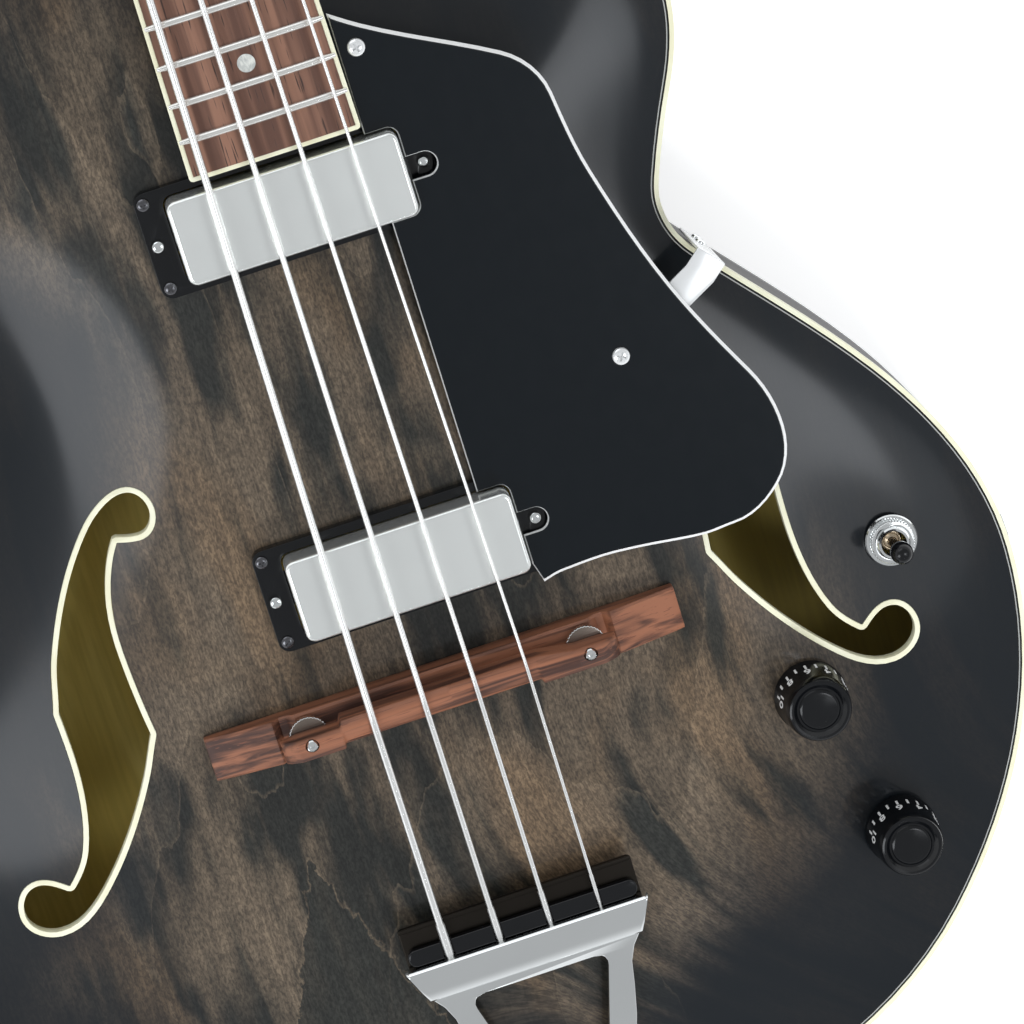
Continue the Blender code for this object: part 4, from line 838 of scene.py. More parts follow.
# Dark metal: the pickup coils' own colour. On the tailpiece's string shelf it is painted shade, standing for
# the shadow and dark reflections on the chrome there.
DARK_METAL_AND_SHADE = plain_metal("dark_metal_and_painted_shade", (0.030, 0.026, 0.022), 0.30)
# Nickel painted dark: on the thumbwheels' flat faces it stands for the shade under the saddle.
SHADED_NICKEL = plain_metal("nickel_in_painted_shade", (0.24, 0.20, 0.17), 0.35)
BRASS = plain_metal("brass", (0.80, 0.71, 0.60), 0.18)
BRIGHT = plain_metal("bright_nickel", (0.95, 0.96, 0.96), 0.20, 0.01, 0.55)
WOUND = wound_metal()
BONE = bone()
PEARL = pearl()


# The body

def arched_plate(edge, rise, reach, edge_z, inward, cutters):
    """A closed arched plate inside the edge line, cut by meshes."""
    cell = 0.003
    clear = 0.05
    low = np.min(edge, axis=0) - cell
    high = np.max(edge, axis=0) + 2 * cell
    xs = np.arange(low[0], high[0], cell)
    ys = np.arange(low[1], high[1], cell)
    flat = np.array([(x, y) for y in ys for x in xs])
    heights = arch_heights(flat, rise, reach, edge_z)
    columns = len(xs)
    count = len(flat)
    upper = [(x, y, z) for (x, y), z in zip(flat, heights)]
    lower = [(x, y, z + inward * PLATE_THICKNESS) for x, y, z in upper]
    faces = []
    for row in range(len(ys) - 1):
        for column in range(columns - 1):
            first = row * columns + column
            quad = (first, first + 1, first + columns + 1, first + columns)
            faces.append(quad)
            faces.append(tuple(corner + count for corner in reversed(quad)))
    border = list(range(columns)) + [row * columns + columns - 1 for row in range(1, len(ys))]
    border += [count - 1 - column for column in range(1, columns)]
    border += [row * columns for row in range(len(ys) - 2, 0, -1)]
    for here, following in zip(border, border[1:] + border[:1]):
        faces.append((following, here, here + count, following + count))
    sheet = bpy.data.meshes.new("sheet")
    sheet.from_pydata(upper + lower, [], faces)
    bm = bmesh.new()
    bm.from_mesh(sheet)
    bmesh.ops.triangulate(bm, faces=bm.faces[:])
    mesh = to_mesh(bm)
    mesh = cut(mesh, [slab([edge], edge_z - clear, edge_z + clear)], "INTERSECT", "MANIFOLD")
    if cutters:
        mesh = cut(mesh, cutters, solver="MANIFOLD")
    return finish_plate(mesh, rise, reach, edge_z, inward)


def finish_plate(mesh, rise, reach, edge_z, inward):
    """True normals on the arched faces, and how far each point lies from the edge."""
    count = len(mesh.vertices)
    places = np.zeros(count * 3)
    mesh.vertices.foreach_get("co", places)
    flat = places.reshape(-1, 3)[:, :2]
    for name, values in (("edge", line_distance(flat, FINE_OUTLINE)), ("depth", soft_distance(flat))):
        attribute = mesh.attributes.new(name, "FLOAT", "POINT")
        attribute.data.foreach_set("value", values.astype(np.float32))
    step = 0.0005
    upright = 0.5
    slopes = []
    for shift in ((step, 0), (0, step)):
        ahead = arch_heights(flat + shift, rise, reach, edge_z)
        behind = arch_heights(flat - shift, rise, reach, edge_z)
        slopes.append((ahead - behind) / (2 * step))
    normals = np.stack([-slopes[0], -slopes[1], np.ones(count)], axis=1)
    normals /= np.linalg.norm(normals, axis=1)[:, None]
    mesh.shade_smooth()
    loops = np.zeros((len(mesh.loops), 3))
    for polygon in mesh.polygons:
        tilt = polygon.normal.z
        if abs(tilt) < upright:
            polygon.use_smooth = False
            continue
        polygon.material_index = 1 if tilt * inward > 0 else 0
        for loop in polygon.loop_indices:
            loops[loop] = normals[mesh.loops[loop].vertex_index] * (1 if tilt > 0 else -1)
    mesh.normals_split_custom_set([tuple(row) for row in loops])
    return mesh


def surface_band(outer, inner):
    """A ring between two lines that follows the top's surface, a little proud of it."""
    band = slab([outer, inner], 0, 1)
    flat = np.array([vertex.co[:2] for vertex in band.vertices])
    for vertex, surface in zip(band.vertices, top_heights(flat)):
        vertex.co.z = surface + F_BINDING_PROUD if vertex.co.z > 0.5 else surface - PLATE_THICKNESS
    return rounded(band, 0.00025, 2, 50)


def build_body():
    through = (0.03, 0.09)
    pickup_opening = (0.083, 0.033, 0.003)
    knob_hole, switch_hole, jack_hole = 0.0041, 0.0061, 0.0058
    openings = [f_hole_outline(side) for side in (-1, 1)]
    openings += [rounded_rectangle(*pickup_opening, 0, centre) for _, centre in PICKUPS]
    openings += [circle(knob_hole, 24, x, y) for _, x, y in KNOBS]
    openings.append(circle(switch_hole, 24, SWITCH_X, SWITCH_Y))
    cutters = [slab([opening], *through) for opening in openings]
    top_line = inset(FINE_OUTLINE, BINDING_WIDTH + GAP)
    top = arched_plate(top_line, TOP_ARCH, TOP_REACH, RIM_TOP_Z, -1, cutters)
    add("arched_top", top, (TOP_WOOD, BARE), solid="top_plate")
    back = arched_plate(FINE_OUTLINE, -BACK_ARCH, BACK_REACH, BACK_ARCH, 1, [])
    add("arched_back", back, (BACK_WOOD, BARE), solid="back_plate")

    binding_low = RIM_TOP_Z - BINDING_HEIGHT
    rim = slab([FINE_OUTLINE, inset(FINE_OUTLINE, RIM_THICKNESS)], BACK_ARCH + PLATE_THICKNESS, binding_low)
    rim = cut(rim, [placed(sleeve(0, jack_hole, -0.01, 0.01, 32), JACK_PLACE)])
    add("bent_rim", shaded(rim), DARK, solid="rim")
    binding = slab([FINE_OUTLINE, inset(FINE_OUTLINE, BINDING_WIDTH)], binding_low, RIM_TOP_Z)
    binding = shaded(rounded(binding, 0.0004, 2, 50))
    add("edge_binding", binding, CREAM, solid="top_binding")
    for side, label in ((-1, "bass"), (1, "treble")):
        line = f_hole_outline(side)
        band = surface_band(inset(line, GAP / 2), inset(line, GAP + F_BINDING_WIDTH))
        add(label + "_f_hole_edge", shaded(band), CREAM, solid="f_hole_binding_" + label)


# Neck, fretboard and head

def board_half_width(y):
    share = (SCALE_LENGTH - y) / (SCALE_LENGTH - BOARD_END_Y)
    return (NUT_WIDTH + (BOARD_END_WIDTH - NUT_WIDTH) * share) / 2


def fret_y(number):
    return SCALE_LENGTH * 2 ** (-number / 12)


def crown_z(x):
    return -x * x / (2 * BOARD_CROWN_RADIUS)


def neck_mesh():
    """The shaft and heel, and the tongue under the fretboard."""
    heel_end = SHOULDER_Y + 2 * GAP
    heel = 0.045
    heel_top = heel_end + heel
    stations = [
        (SCALE_LENGTH + NUT_LENGTH + 0.003, 0.015, 1.0), (SCALE_LENGTH - 0.060, 0.015, 1.0),
        (heel_top + 0.13, 0.0175, 1.0), (heel_top + 0.06, 0.019, 1.0), (heel_top, 0.021, 1.0),
        (heel_end + heel * 0.6, 0.0302, 0.98), (heel_end + heel * 0.3, 0.0499, 0.96),
        (heel_end, 0.058, 0.95),
    ]
    last_straight = 3
    tongue_depth = 0.0075
    under = -BOARD_THICKNESS - GAP
    sections = []
    count = 24
    for t in np.linspace(0, len(stations) - 1, 57):
        index = min(int(t), len(stations) - 2)
        share = t - index
        smooth = share * share * (3 - 2 * share) if index > last_straight else share
        (y0, depth0, width0), (y1, depth1, width1) = stations[index:index + 2]
        y = y0 + (y1 - y0) * share
        depth = depth0 + (depth1 - depth0) * smooth
        half = board_half_width(y) * (width0 + (width1 - width0) * share)
        upright = max(0.0, 1 - (y - heel_end) / heel)
        section = []
        for step in range(count + 1):
            turn = math.pi * step / count
            z = under - depth * math.sin(turn) ** 0.85
            lean = z * math.tan(NECK_ANGLE) * upright
            section.append((half * math.cos(turn), y - LAST_FRET_Y - lean, z))
        sections.append(section)
    tongue_end = BOARD_END_Y + 0.002 - LAST_FRET_Y
    half = board_half_width(SHOULDER_Y) * 0.95
    tongue = box((-half, tongue_end, under - tongue_depth), (half, heel_end - LAST_FRET_Y, under))
    return joined([lofted(sections), tongue])


def head_outline():
    half_nut = NUT_WIDTH / 2
    right = [
        (half_nut, 0.0, 90, 1), (half_nut + 0.001, 0.010, 70, 3), (0.034, 0.036, 75, 2),
        (0.041, 0.150, 92, 2), (0.029, HEAD_LENGTH - 0.012, 145, 3),
    ]
    steps_left = (2, 2, 3, 1, 1)
    left = [(-x, y, -turn, steps) for (x, y, turn, _), steps in zip(reversed(right), steps_left)]
    return bent_path([*right, (0.0, HEAD_LENGTH, 180, 3), *left], 4)


def build_head():
    tuner_hole = 0.0068
    veneer = 0.0013
    holes = [circle(tuner_hole, 28, side * TUNER_POST_X, row) for row in TUNER_ROWS for side in (-1, 1)]
    outline = head_outline()
    core = slab([outline, *holes], -GAP - HEAD_THICKNESS, -GAP - veneer, 0.0010)
    face = slab([outline, *holes], -GAP - veneer, -GAP, 0.0003)
    add("headstock_core", placed(shaded(core), HEAD), DARK)
    add("headstock_face", placed(shaded(face), HEAD), BLACK)
    cover = [(-0.0095, 0.004), (0.0095, 0.004), (0.0075, 0.022), (0.0, 0.031), (-0.0075, 0.022)]
    cover_top = 0.0020
    plate = slab([cover], GAP - 0.0003, cover_top, 0.0005)
    add("truss_rod_cover", placed(shaded(plate), HEAD), BLACK)
    screws = [HEAD @ at(x, y, cover_top) for x, y in ((-0.0068, 0.0068), (0.0068, 0.0068), (0, 0.0262))]
    set_out("truss_rod_cover_screws", SCREW_HEAD, screws, CHROME, scale=0.0014)


def build_neck():
    add("neck_shaft", placed(shaded(neck_mesh(), 50), NECK), DARK, solid="neck")
    build_head()

    nut_start = SCALE_LENGTH - LAST_FRET_Y
    inlay_top = 0.00006
    octave_dot_x = 0.011
    count = 16
    sections = []
    for y in np.linspace(BOARD_END_Y + BOARD_BINDING, SCALE_LENGTH - GAP, 24):
        half = board_half_width(y) - BOARD_BINDING
        along = y - LAST_FRET_Y
        xs = [-half + 2 * half * index / count for index in range(count + 1)]
        row = [(x, along, crown_z(x)) for x in xs]
        sections.append([(-half, along, -BOARD_THICKNESS), *row, (half, along, -BOARD_THICKNESS)])
    board = placed(shaded(lofted(sections), 50), NECK)
    add("rosewood_board", board, ROSEWOOD, solid="fretboard")

    wide = board_half_width(BOARD_END_Y)
    narrow = board_half_width(SCALE_LENGTH - GAP)
    y0 = BOARD_END_Y - LAST_FRET_Y
    y1 = SCALE_LENGTH - GAP - LAST_FRET_Y
    corner = 0.0012
    small = corner * 0.3
    right = [(wide - corner, y0), (wide - small, y0 + small), (wide, y0 + corner), (narrow, y1),
             (narrow - BOARD_BINDING, y1), (wide - BOARD_BINDING, y0 + BOARD_BINDING)]
    left = [(-x, y) for x, y in reversed(right)]
    edge = rounded(slab([right + left], -BOARD_THICKNESS, crown_z(wide) + 0.0002), 0.0004, 2, 50)
    add("board_edge_binding", placed(shaded(edge), NECK), CREAM, solid="fretboard_binding")

    places = []
    for number in range(1, FRET_COUNT + 1):
        y = fret_y(number)
        half = board_half_width(y) - 0.0005
        places.append((NECK @ at(0, y - LAST_FRET_Y), (half, 1, 1)))
    set_out("fret_wires", fret_mesh(), places, NICKEL)

    dots = []
    for number in (3, 5, 7, 9, 12, 15, 17, 19, 21):
        y = (fret_y(number) + fret_y(number - 1)) / 2 - LAST_FRET_Y
        lanes = (-octave_dot_x, octave_dot_x) if number == 12 else (0.0,)
        dots += [NECK @ at(x, y, crown_z(x)) for x in lanes]
    set_out("position_dots", sleeve(0, 0.0030, -0.0010, inlay_top, 32), dots, PEARL)

    top = NUT_STRING_HEIGHT + 0.0008
    nut = box((-NUT_WIDTH / 2, nut_start, -BOARD_THICKNESS), (NUT_WIDTH / 2, nut_start + NUT_LENGTH, top))
    slots = []
    for index, (_, diameter) in enumerate(STRINGS):
        start = Vector(((index - 1.5) * NUT_SPACING, nut_start - 0.002, NUT_STRING_HEIGHT + diameter / 2))
        for lift in (Vector((0, 0, 0)), Vector((0, 0, diameter / 2))):
            ends = (start + lift, start + lift + Vector((0, 0.004 + NUT_LENGTH, 0)))
            slots.append(wire(ends, diameter / 2 + HAIR, 2))
    nut = placed(shaded(cut(rounded(nut, 0.0007, 3), slots), 40), NECK)
    add("slotted_nut", nut, BONE, solid="nut")


def fret_mesh():
    """A fret of half length one with a rounded crown and rounded ends."""
    profile = [(-0.00125, -0.0002), (-0.00120, 0.0004), (-0.0008, 0.00085), (-0.0003, FRET_HEIGHT),
               (0.0003, FRET_HEIGHT), (0.0008, 0.00085), (0.00120, 0.0004), (0.00125, -0.0002)]
    sections = []
    for x in np.linspace(-1, 1, 15):
        drop = -0.0014 * x * x
        end = 0.62 if abs(x) > 0.999 else 1.0
        sections.append([(x, y * end, drop + z * end) for y, z in profile])
    return shaded(lofted(sections), 50)


# Screws

def screw_head(sides=28):
    """A domed head of radius one with a cross recess."""
    profile = ((0, -0.5), (1.0, -0.5), (1.0, 0.12), (0.93, 0.30), (0.72, 0.46), (0.40, 0.54), (0, 0.56))
    dome = turned(profile, sides)
    arms = [box((-0.52, -0.11, 0.2), (0.52, 0.11, 0.9)), box((-0.11, -0.52, 0.2), (0.11, 0.52, 0.9))]
    return shaded(cut(dome, arms), 30)


SCREW_HEAD = screw_head()


# Strings

def smooth_turn(start, corner, end, radius, steps=6):
    """Points that round a corner between two straight runs."""
    first = (start - corner).normalized() * radius
    second = (end - corner).normalized() * radius
    points = []
    for step in range(steps + 1):
        t = step / steps
        points.append(corner + first * (1 - t) ** 2 + second * t ** 2)
    return points


def build_strings():
    posts = ((-1, 0), (-1, 1), (1, 1), (1, 0))
    fret_spacing = 0.0157
    hole_y, hole_z = -0.0940, 0.0780
    post_radius, post_hole_z = 0.0036, 0.0135
    windings = 2.75
    steps = int(windings * 20)
    nut_start = SCALE_LENGTH - LAST_FRET_Y
    profile = ((0.0008, -0.0015), (0.0019, -0.0015), (0.0022, -0.0008), (0.0022, 0.0008),
               (0.0019, 0.0015), (0.0008, 0.0015))
    for index, (name, diameter) in enumerate(STRINGS):
        lane = index - 1.5
        radius = diameter / 2
        nut = NECK @ Vector((lane * NUT_SPACING, nut_start, NUT_STRING_HEIGHT + radius))
        at_fret = NECK @ Vector((lane * fret_spacing, 0, FRET_HEIGHT + STRING_ACTION + radius))
        slope = (nut.z - at_fret.z) / (nut.y - at_fret.y)
        saddle = Vector((lane * SADDLE_SPACING, 0, nut.z - slope * nut.y))
        hole = Vector((lane * SADDLE_SPACING, hole_y + GAP, hole_z))
        nut_back = NECK @ Vector((lane * NUT_SPACING, nut_start + NUT_LENGTH, NUT_STRING_HEIGHT + radius))
        side, row = posts[index]
        reach = post_radius + radius + 0.00005
        turn_start = HEAD @ Vector((side * (TUNER_POST_X - reach), TUNER_ROWS[row], post_hole_z))
        points = [hole - Vector((0, 0.004, 0)), hole]
        points += smooth_turn(hole, saddle, nut, 0.003)
        points += smooth_turn(saddle, nut, nut_back, 0.001, 3)
        points += smooth_turn(nut, nut_back, turn_start, 0.002, 3)
        for step in range(steps + 1):
            turn = 2 * math.pi * windings * step / steps
            x = side * (TUNER_POST_X - reach * math.cos(turn))
            y = TUNER_ROWS[row] + reach * math.sin(turn)
            fall = (diameter + 0.00008) * turn / (2 * math.pi)
            points.append(HEAD @ Vector((x, y, post_hole_z - fall)))
        label = name + "_string_"
        string = shaded(wire(points, radius), 60)
        string.name = "wound_string"
        add(label + "wound", string, WOUND, solid="string_" + name)
        wrap = wire([hole, hole + (saddle - hole) * 0.13], radius * 1.22)
        add(label + "end_wrap", shaded(wrap, 60), WOUND)
        place = Matrix.Translation(hole - Vector((0, 0.0045, 0.0)))
        add(label + "ball", placed(shaded(turned(profile, 24)), place @ SIDEWAYS), BRASS)


# Pickups and pickguard

def pickup_cover(low, high):
    """A box with round upright corners and a soft upper rim."""
    corner, soft = 0.0032, 0.0013
    bm = bmesh.new()
    bm.from_mesh(box(low, high))
    upright = [edge for edge in bm.edges if abs(edge.verts[0].co.z - edge.verts[1].co.z) > 0.001]
    bmesh.ops.bevel(bm, geom=upright, offset=corner, segments=6, profile=0.5, affect="EDGES")
    rim = [edge for edge in bm.edges if all(vertex.co.z > high.z - 1e-5 for vertex in edge.verts)]
    bmesh.ops.bevel(bm, geom=rim, offset=soft, segments=5, profile=0.5, affect="EDGES")
    cover = shaded(to_mesh(bm), 40)
    for face in cover.polygons:
        face.use_smooth = face.area < 1e-4
    return cover


def pickup_ring(centre, width, length, top):
    """A frame round a cover of the given size, its underside following the arched top."""
    room = 0.0012
    screw_hole = circle(0.0017, 20)
    holes = [[(x + side * HEIGHT_SCREW_X, y + centre) for x, y in screw_hole] for side in (-1, 1)]
    outer = rounded_rectangle(RING_LENGTH, RING_WIDTH, 0.0040, 0, centre)
    inner = rounded_rectangle(width + room, length + room, 0.0036, 0, centre)
    ring = slab([outer, inner, *holes], 0, 1)
    flat = np.array([vertex.co[:2] for vertex in ring.vertices])
    for vertex, surface in zip(ring.vertices, top_heights(flat)):
        vertex.co.z = top if vertex.co.z > 0.5 else min(surface, top - 0.002) - 0.0004
    return shaded(rounded(ring, 0.0007, 3, 50), 40)


def build_pickups():
    corner_x, corner_y = 0.0462, 0.0146
    for name, centre in PICKUPS:
        node = name + "_pickup_cover"
        low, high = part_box(node)
        cover = pickup_cover(low, high)
        add(name + "_cover", cover, SATIN, body=name + "_pickup", solid=node)

        node = name + "_pickup_ring"
        ring_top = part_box(node)[1].z
        ring = pickup_ring(centre, high.x - low.x, high.y - low.y, ring_top)
        add(name + "_ring", ring, BLACK, solid=node)
        screws = []
        for sx in (-1, 1):
            for sy in (-1, 1):
                seat = ring_top + (HAIR if sx < 0 else -0.0009)
                place = at(sx * corner_x, centre + sy * corner_y, seat)
                screws.append(place @ spun(0.6 + len(screws), "Z"))
        set_out(name + "_ring_screws", SCREW_HEAD, screws, BLACKENED, scale=0.0022)
        for side, label in ((-1, "bass"), (1, "treble")):
            node = "%s_height_screw_%s" % (name, label)
            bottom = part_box(node)[0].z
            head = placed(SCREW_HEAD.copy(), Matrix.Diagonal((0.0020, 0.0020, 0.0018, 1)))
            head = shifted(head, 0, 0, ring_top + 0.0010)
            stem_top = ring_top + 0.0004
            stem = turned(((0, bottom), (0.0011, bottom), (0.0013, bottom + 0.0005), (0.0013, stem_top),
                           (0, stem_top)), 16)
            both = shaded(shifted(joined([head, stem]), side * HEIGHT_SCREW_X, centre, 0), 30)
            add("%s_%s_lift_screw" % (name, label), both, CHROME, body=node, solid=node)


def guard_outline(fine=3):
    """The guard's line, anticlockwise, and which of its points lie on the bevelled outer side."""
    inner = BOARD_END_WIDTH / 2 + GAP + 0.0001
    side_x = 0.0402
    half_y = 0.0152
    corner = 0.0035
    notch = 0.0040
    top = 0.2266

    def notch_stops(y):
        x = HEIGHT_SCREW_X
        return [
            (side_x, y - notch, None, 1), (x, y - notch, 0, 3), (x + notch, y, 90, 3),
            (x, y + notch, 180, 1), (side_x, y + notch, None, 1),
        ]

    neck_y = PICKUPS[0][1]
    bridge_y = PICKUPS[1][1]
    outer_stops = [
        (inner, top, None, 1), (0.0390, 0.2202, -32, 2), (0.0802, 0.1976, -31, 2),
        (0.0925, 0.1794, -83, 2), (0.0972, 0.1510, -75, 2), (0.1117, 0.1057, -68, 2),
        (0.1293, 0.0693, -62, 2), (0.1349, 0.0472, -90, 2), (0.1274, 0.0282, -137, 2),
        (0.1096, 0.0198, 180, 2), (0.0987, 0.0193, 176, 2), (0.0764, 0.0221, 174, 2),
        (0.0625, 0.0231, 180, 1), (0.0535, 0.0228, 184, 1), (0.0481, 0.0225, 188, 1),
        (0.0423, 0.0211, None, 1),
    ]
    inner_stops = [
        (0.0420, 0.0223, None, 1), (side_x, bridge_y - half_y + 0.0005, None, 1), *notch_stops(bridge_y),
        (side_x, bridge_y + half_y - corner, 90, 2), (side_x - corner, bridge_y + half_y, 180, 1),
        (inner, bridge_y + half_y, None, 1), (inner, neck_y - half_y, None, 1),
        (side_x - corner, neck_y - half_y, 0, 2), (side_x, neck_y - half_y + corner, 90, 1),
        *notch_stops(neck_y), (side_x, neck_y + half_y - corner, 90, 2),
        (side_x - corner, neck_y + half_y, 180, 1), (inner, neck_y + half_y, None, 1),
        (inner, top - 0.0014, None, 1),
    ]
    line = bent_path(outer_stops + inner_stops, fine)
    outer_count = line.index(min(line, key=lambda point: math.dist(point, outer_stops[-1][:2]))) + 1
    on_outer = [index < outer_count for index in range(len(line))]
    return line[::-1], on_outer[::-1]


def guard_mesh(low, high):
    """Three plies, the white one showing on the bevelled outer edge."""
    line, on_outer = guard_outline()
    count = len(line)
    flat = np.array(line)
    inward = (np.array(inset(line, 0.001)) - flat) / 0.001
    bevel, black, upright = 0.0014, 0.0003, 0.0009
    widths = np.where(on_outer, bevel, 0.0005)[:, None]
    levels = ((0.0, low), (0.0, low + upright), (0.0, high - bevel), (1 - black / bevel, high - black),
              (1.0, high))
    rows = [[(x, y, height) for x, y in flat + inward * widths * share] for share, height in levels]
    bm = bmesh.new()
    verts = [[bm.verts.new(point) for point in row] for row in rows]
    for level, (row, following) in enumerate(zip(verts, verts[1:])):
        for index in range(count):
            after = (index + 1) % count
            face = bm.faces.new((row[index], row[after], following[after], following[index]))
            white = level == 2 or (level == 1 and on_outer[index] and on_outer[after])
            face.material_index = 1 if white else 0
    bm.faces.new(verts[0])
    bm.faces.new(verts[-1])
    return to_mesh(bm)


def build_guard():
    low, high = (corner.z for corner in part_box("pickguard"))
    guard = shaded(guard_mesh(low, high), 20)
    add("bevelled_pickguard", guard, (GUARD_BLACK, WHITE), solid="pickguard")
    screws = ((0.0356, 0.2134, 0.3), (0.0890, 0.0877, 1.1))
    places = [at(x, y, high + HAIR) @ spun(turn, "Z") for x, y, turn in screws]
    set_out("pickguard_screws", SCREW_HEAD, places, BRIGHT, scale=0.0030)
    x, y, _ = screws[0]
    spacer = sleeve(0, 0.0030, top_height(x, y), low - 0.0004)
    add("pickguard_spacer", shifted(shaded(spacer), x, y, 0), BLACK)

    node = "pickguard_bracket"
    strap = shaded(rounded(cad_copy(node), 0.0004, 3, 25))
    add("bracket_strap", strap, BRIGHT, solid=node)
    along = Vector((math.cos(BRACKET_TURN), math.sin(BRACKET_TURN), 0))
    start = Vector((*BRACKET_AT, 0))
    wall = max((vertex.co - start).dot(along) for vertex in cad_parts[node].data.vertices)
    stand = spun(BRACKET_TURN, "Z") @ SIDEWAYS
    spots = [at(*(start + along * (wall + HAIR) + Vector((0, 0, z)))) @ stand for z in (0.0475, 0.0395)]
    set_out("bracket_screws", SCREW_HEAD, spots, CHROME, scale=0.0019)


def cad_copy(node):
    """A merged copy of a solid's mesh, with its flat faces made whole."""
    bm = bmesh.new()
    bm.from_mesh(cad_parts[node].data)
    bmesh.ops.remove_doubles(bm, verts=bm.verts, dist=1e-6)
    bmesh.ops.dissolve_limit(bm, angle_limit=math.radians(2), verts=bm.verts, edges=bm.edges)
    return to_mesh(bm)


# Bridge and tailpiece

def bridge_foot(base_top):
    """The base, hollowed to the arched top, with a dip before each raised end."""
    half = BRIDGE_LENGTH / 2
    y_low = BRIDGE_Y - 0.00765
    y_high = BRIDGE_Y + 0.00765
    dip_start, dip_end = 0.0525, 0.0600
    dip, step, end_height, soft = 0.0026, 0.0006, 0.0050, 0.0008
    sections = []
    for x in np.linspace(-half, half, 65):
        front, back = (top_height(x, y) + 0.0002 for y in (y_low, y_high))
        outward = abs(x)
        end_top = max(front, back) + end_height
        if outward < dip_start:
            crest = base_top
        elif outward < dip_end:
            crest = base_top - dip * math.sin(math.pi * (outward - dip_start) / (dip_end - dip_start))
        else:
            share = (outward - dip_end) / (half - dip_end)
            crest = base_top + step + (end_top - base_top - step) * share
        sections.append([
            (x, y_low, front), (x, y_high, back), (x, y_high, crest - soft),
            (x, y_high - soft, crest), (x, y_low + soft, crest), (x, y_low, crest - soft)])
    return shaded(rounded(lofted(sections), 0.0004, 2, 60), 30)


def carved_saddle(low, high):
    """The saddle, its ridge set back for the outer and the thinnest strings."""
    crest = high.z + HAIR
    half_crest, half_length, half_middle, thin_start = 0.0535, 0.0590, 0.038, 0.031
    sections = []
    for x in (-0.059, -0.0575, -0.0535, -0.045, -0.0385, -0.0375, -0.018, -0.0005, 0.0005, 0.018, 0.0305,
              0.0315, 0.045, 0.0535, 0.0575, 0.059):
        end = max(0.0, (abs(x) - half_crest) / (half_length - half_crest))
        bottom = low.z + 0.002 * end
        peak = crest - 0.0045 * end * end
        middle = abs(x) < half_middle
        back = low.y + (0.0022 if x < thin_start and middle else -0.0003)
        fore = high.y - (0.0 if middle else 0.0022)
        set_back = 0.0012 if x <= -0.0005 or x > thin_start else 0.0
        ridge = BRIDGE_Y + (0.0042 if middle else 0.0030) - set_back
        sections.append([
            (x, back, bottom), (x, fore, bottom), (x, fore, peak - 0.0016), (x, ridge, peak),
            (x, ridge - 0.0012, peak), (x, back, peak - 0.0030)])
    holes = [shifted(sleeve(0, 0.0024, 0.07, 0.1), side * WHEEL_X, BRIDGE_Y, 0) for side in (-1, 1)]
    return shaded(cut(rounded(lofted(sections), 0.0004, 2, 25), holes), 30)


def build_bridge():
    base_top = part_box("thumbwheel_bass")[0].z - GAP - 0.0010
    add("bridge_foot", bridge_foot(base_top), BRIDGE_WOOD, solid="bridge_base")
    post_low = base_top - 0.004
    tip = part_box("bridge_base")[1].z
    post = turned(((0, post_low), (0.0020, post_low), (0.0020, tip - 0.0004), (0.0016, tip), (0.0009, tip),
                   (0.0009, tip - 0.0012), (0, tip - 0.0012)), 24)
    posts = [at(side * WHEEL_X, BRIDGE_Y) for side in (-1, 1)]
    set_out("bridge_posts", shaded(post), posts, CHROME)

    node = "bridge_saddle"
    add("carved_saddle", carved_saddle(*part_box(node)), BRIDGE_WOOD, body=node, solid=node)

    for side, label in ((-1, "bass"), (1, "treble")):
        node = "thumbwheel_" + label
        low, high = (corner.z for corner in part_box(node))
        half = (high - low) / 2
        wheel = slab([toothed(0.0070, 0.0067, 36), circle(0.0023, 24)], -half, half, 0.0003)
        wheel = shifted(wheel, side * WHEEL_X, BRIDGE_Y, (low + high) / 2)
        # Painted shade: the wheel's flat top and bottom faces take the dark nickel, standing for the shade
        # under the saddle, while the knurled rim stays chrome.
        for face in wheel.polygons:
            face.material_index = 1 if abs(face.normal.z) > 0.9 else 0
        finishes = (CHROME, SHADED_NICKEL)
        add(label + "_knurled_wheel", shaded(wheel, 25), finishes, body=node, solid=node)


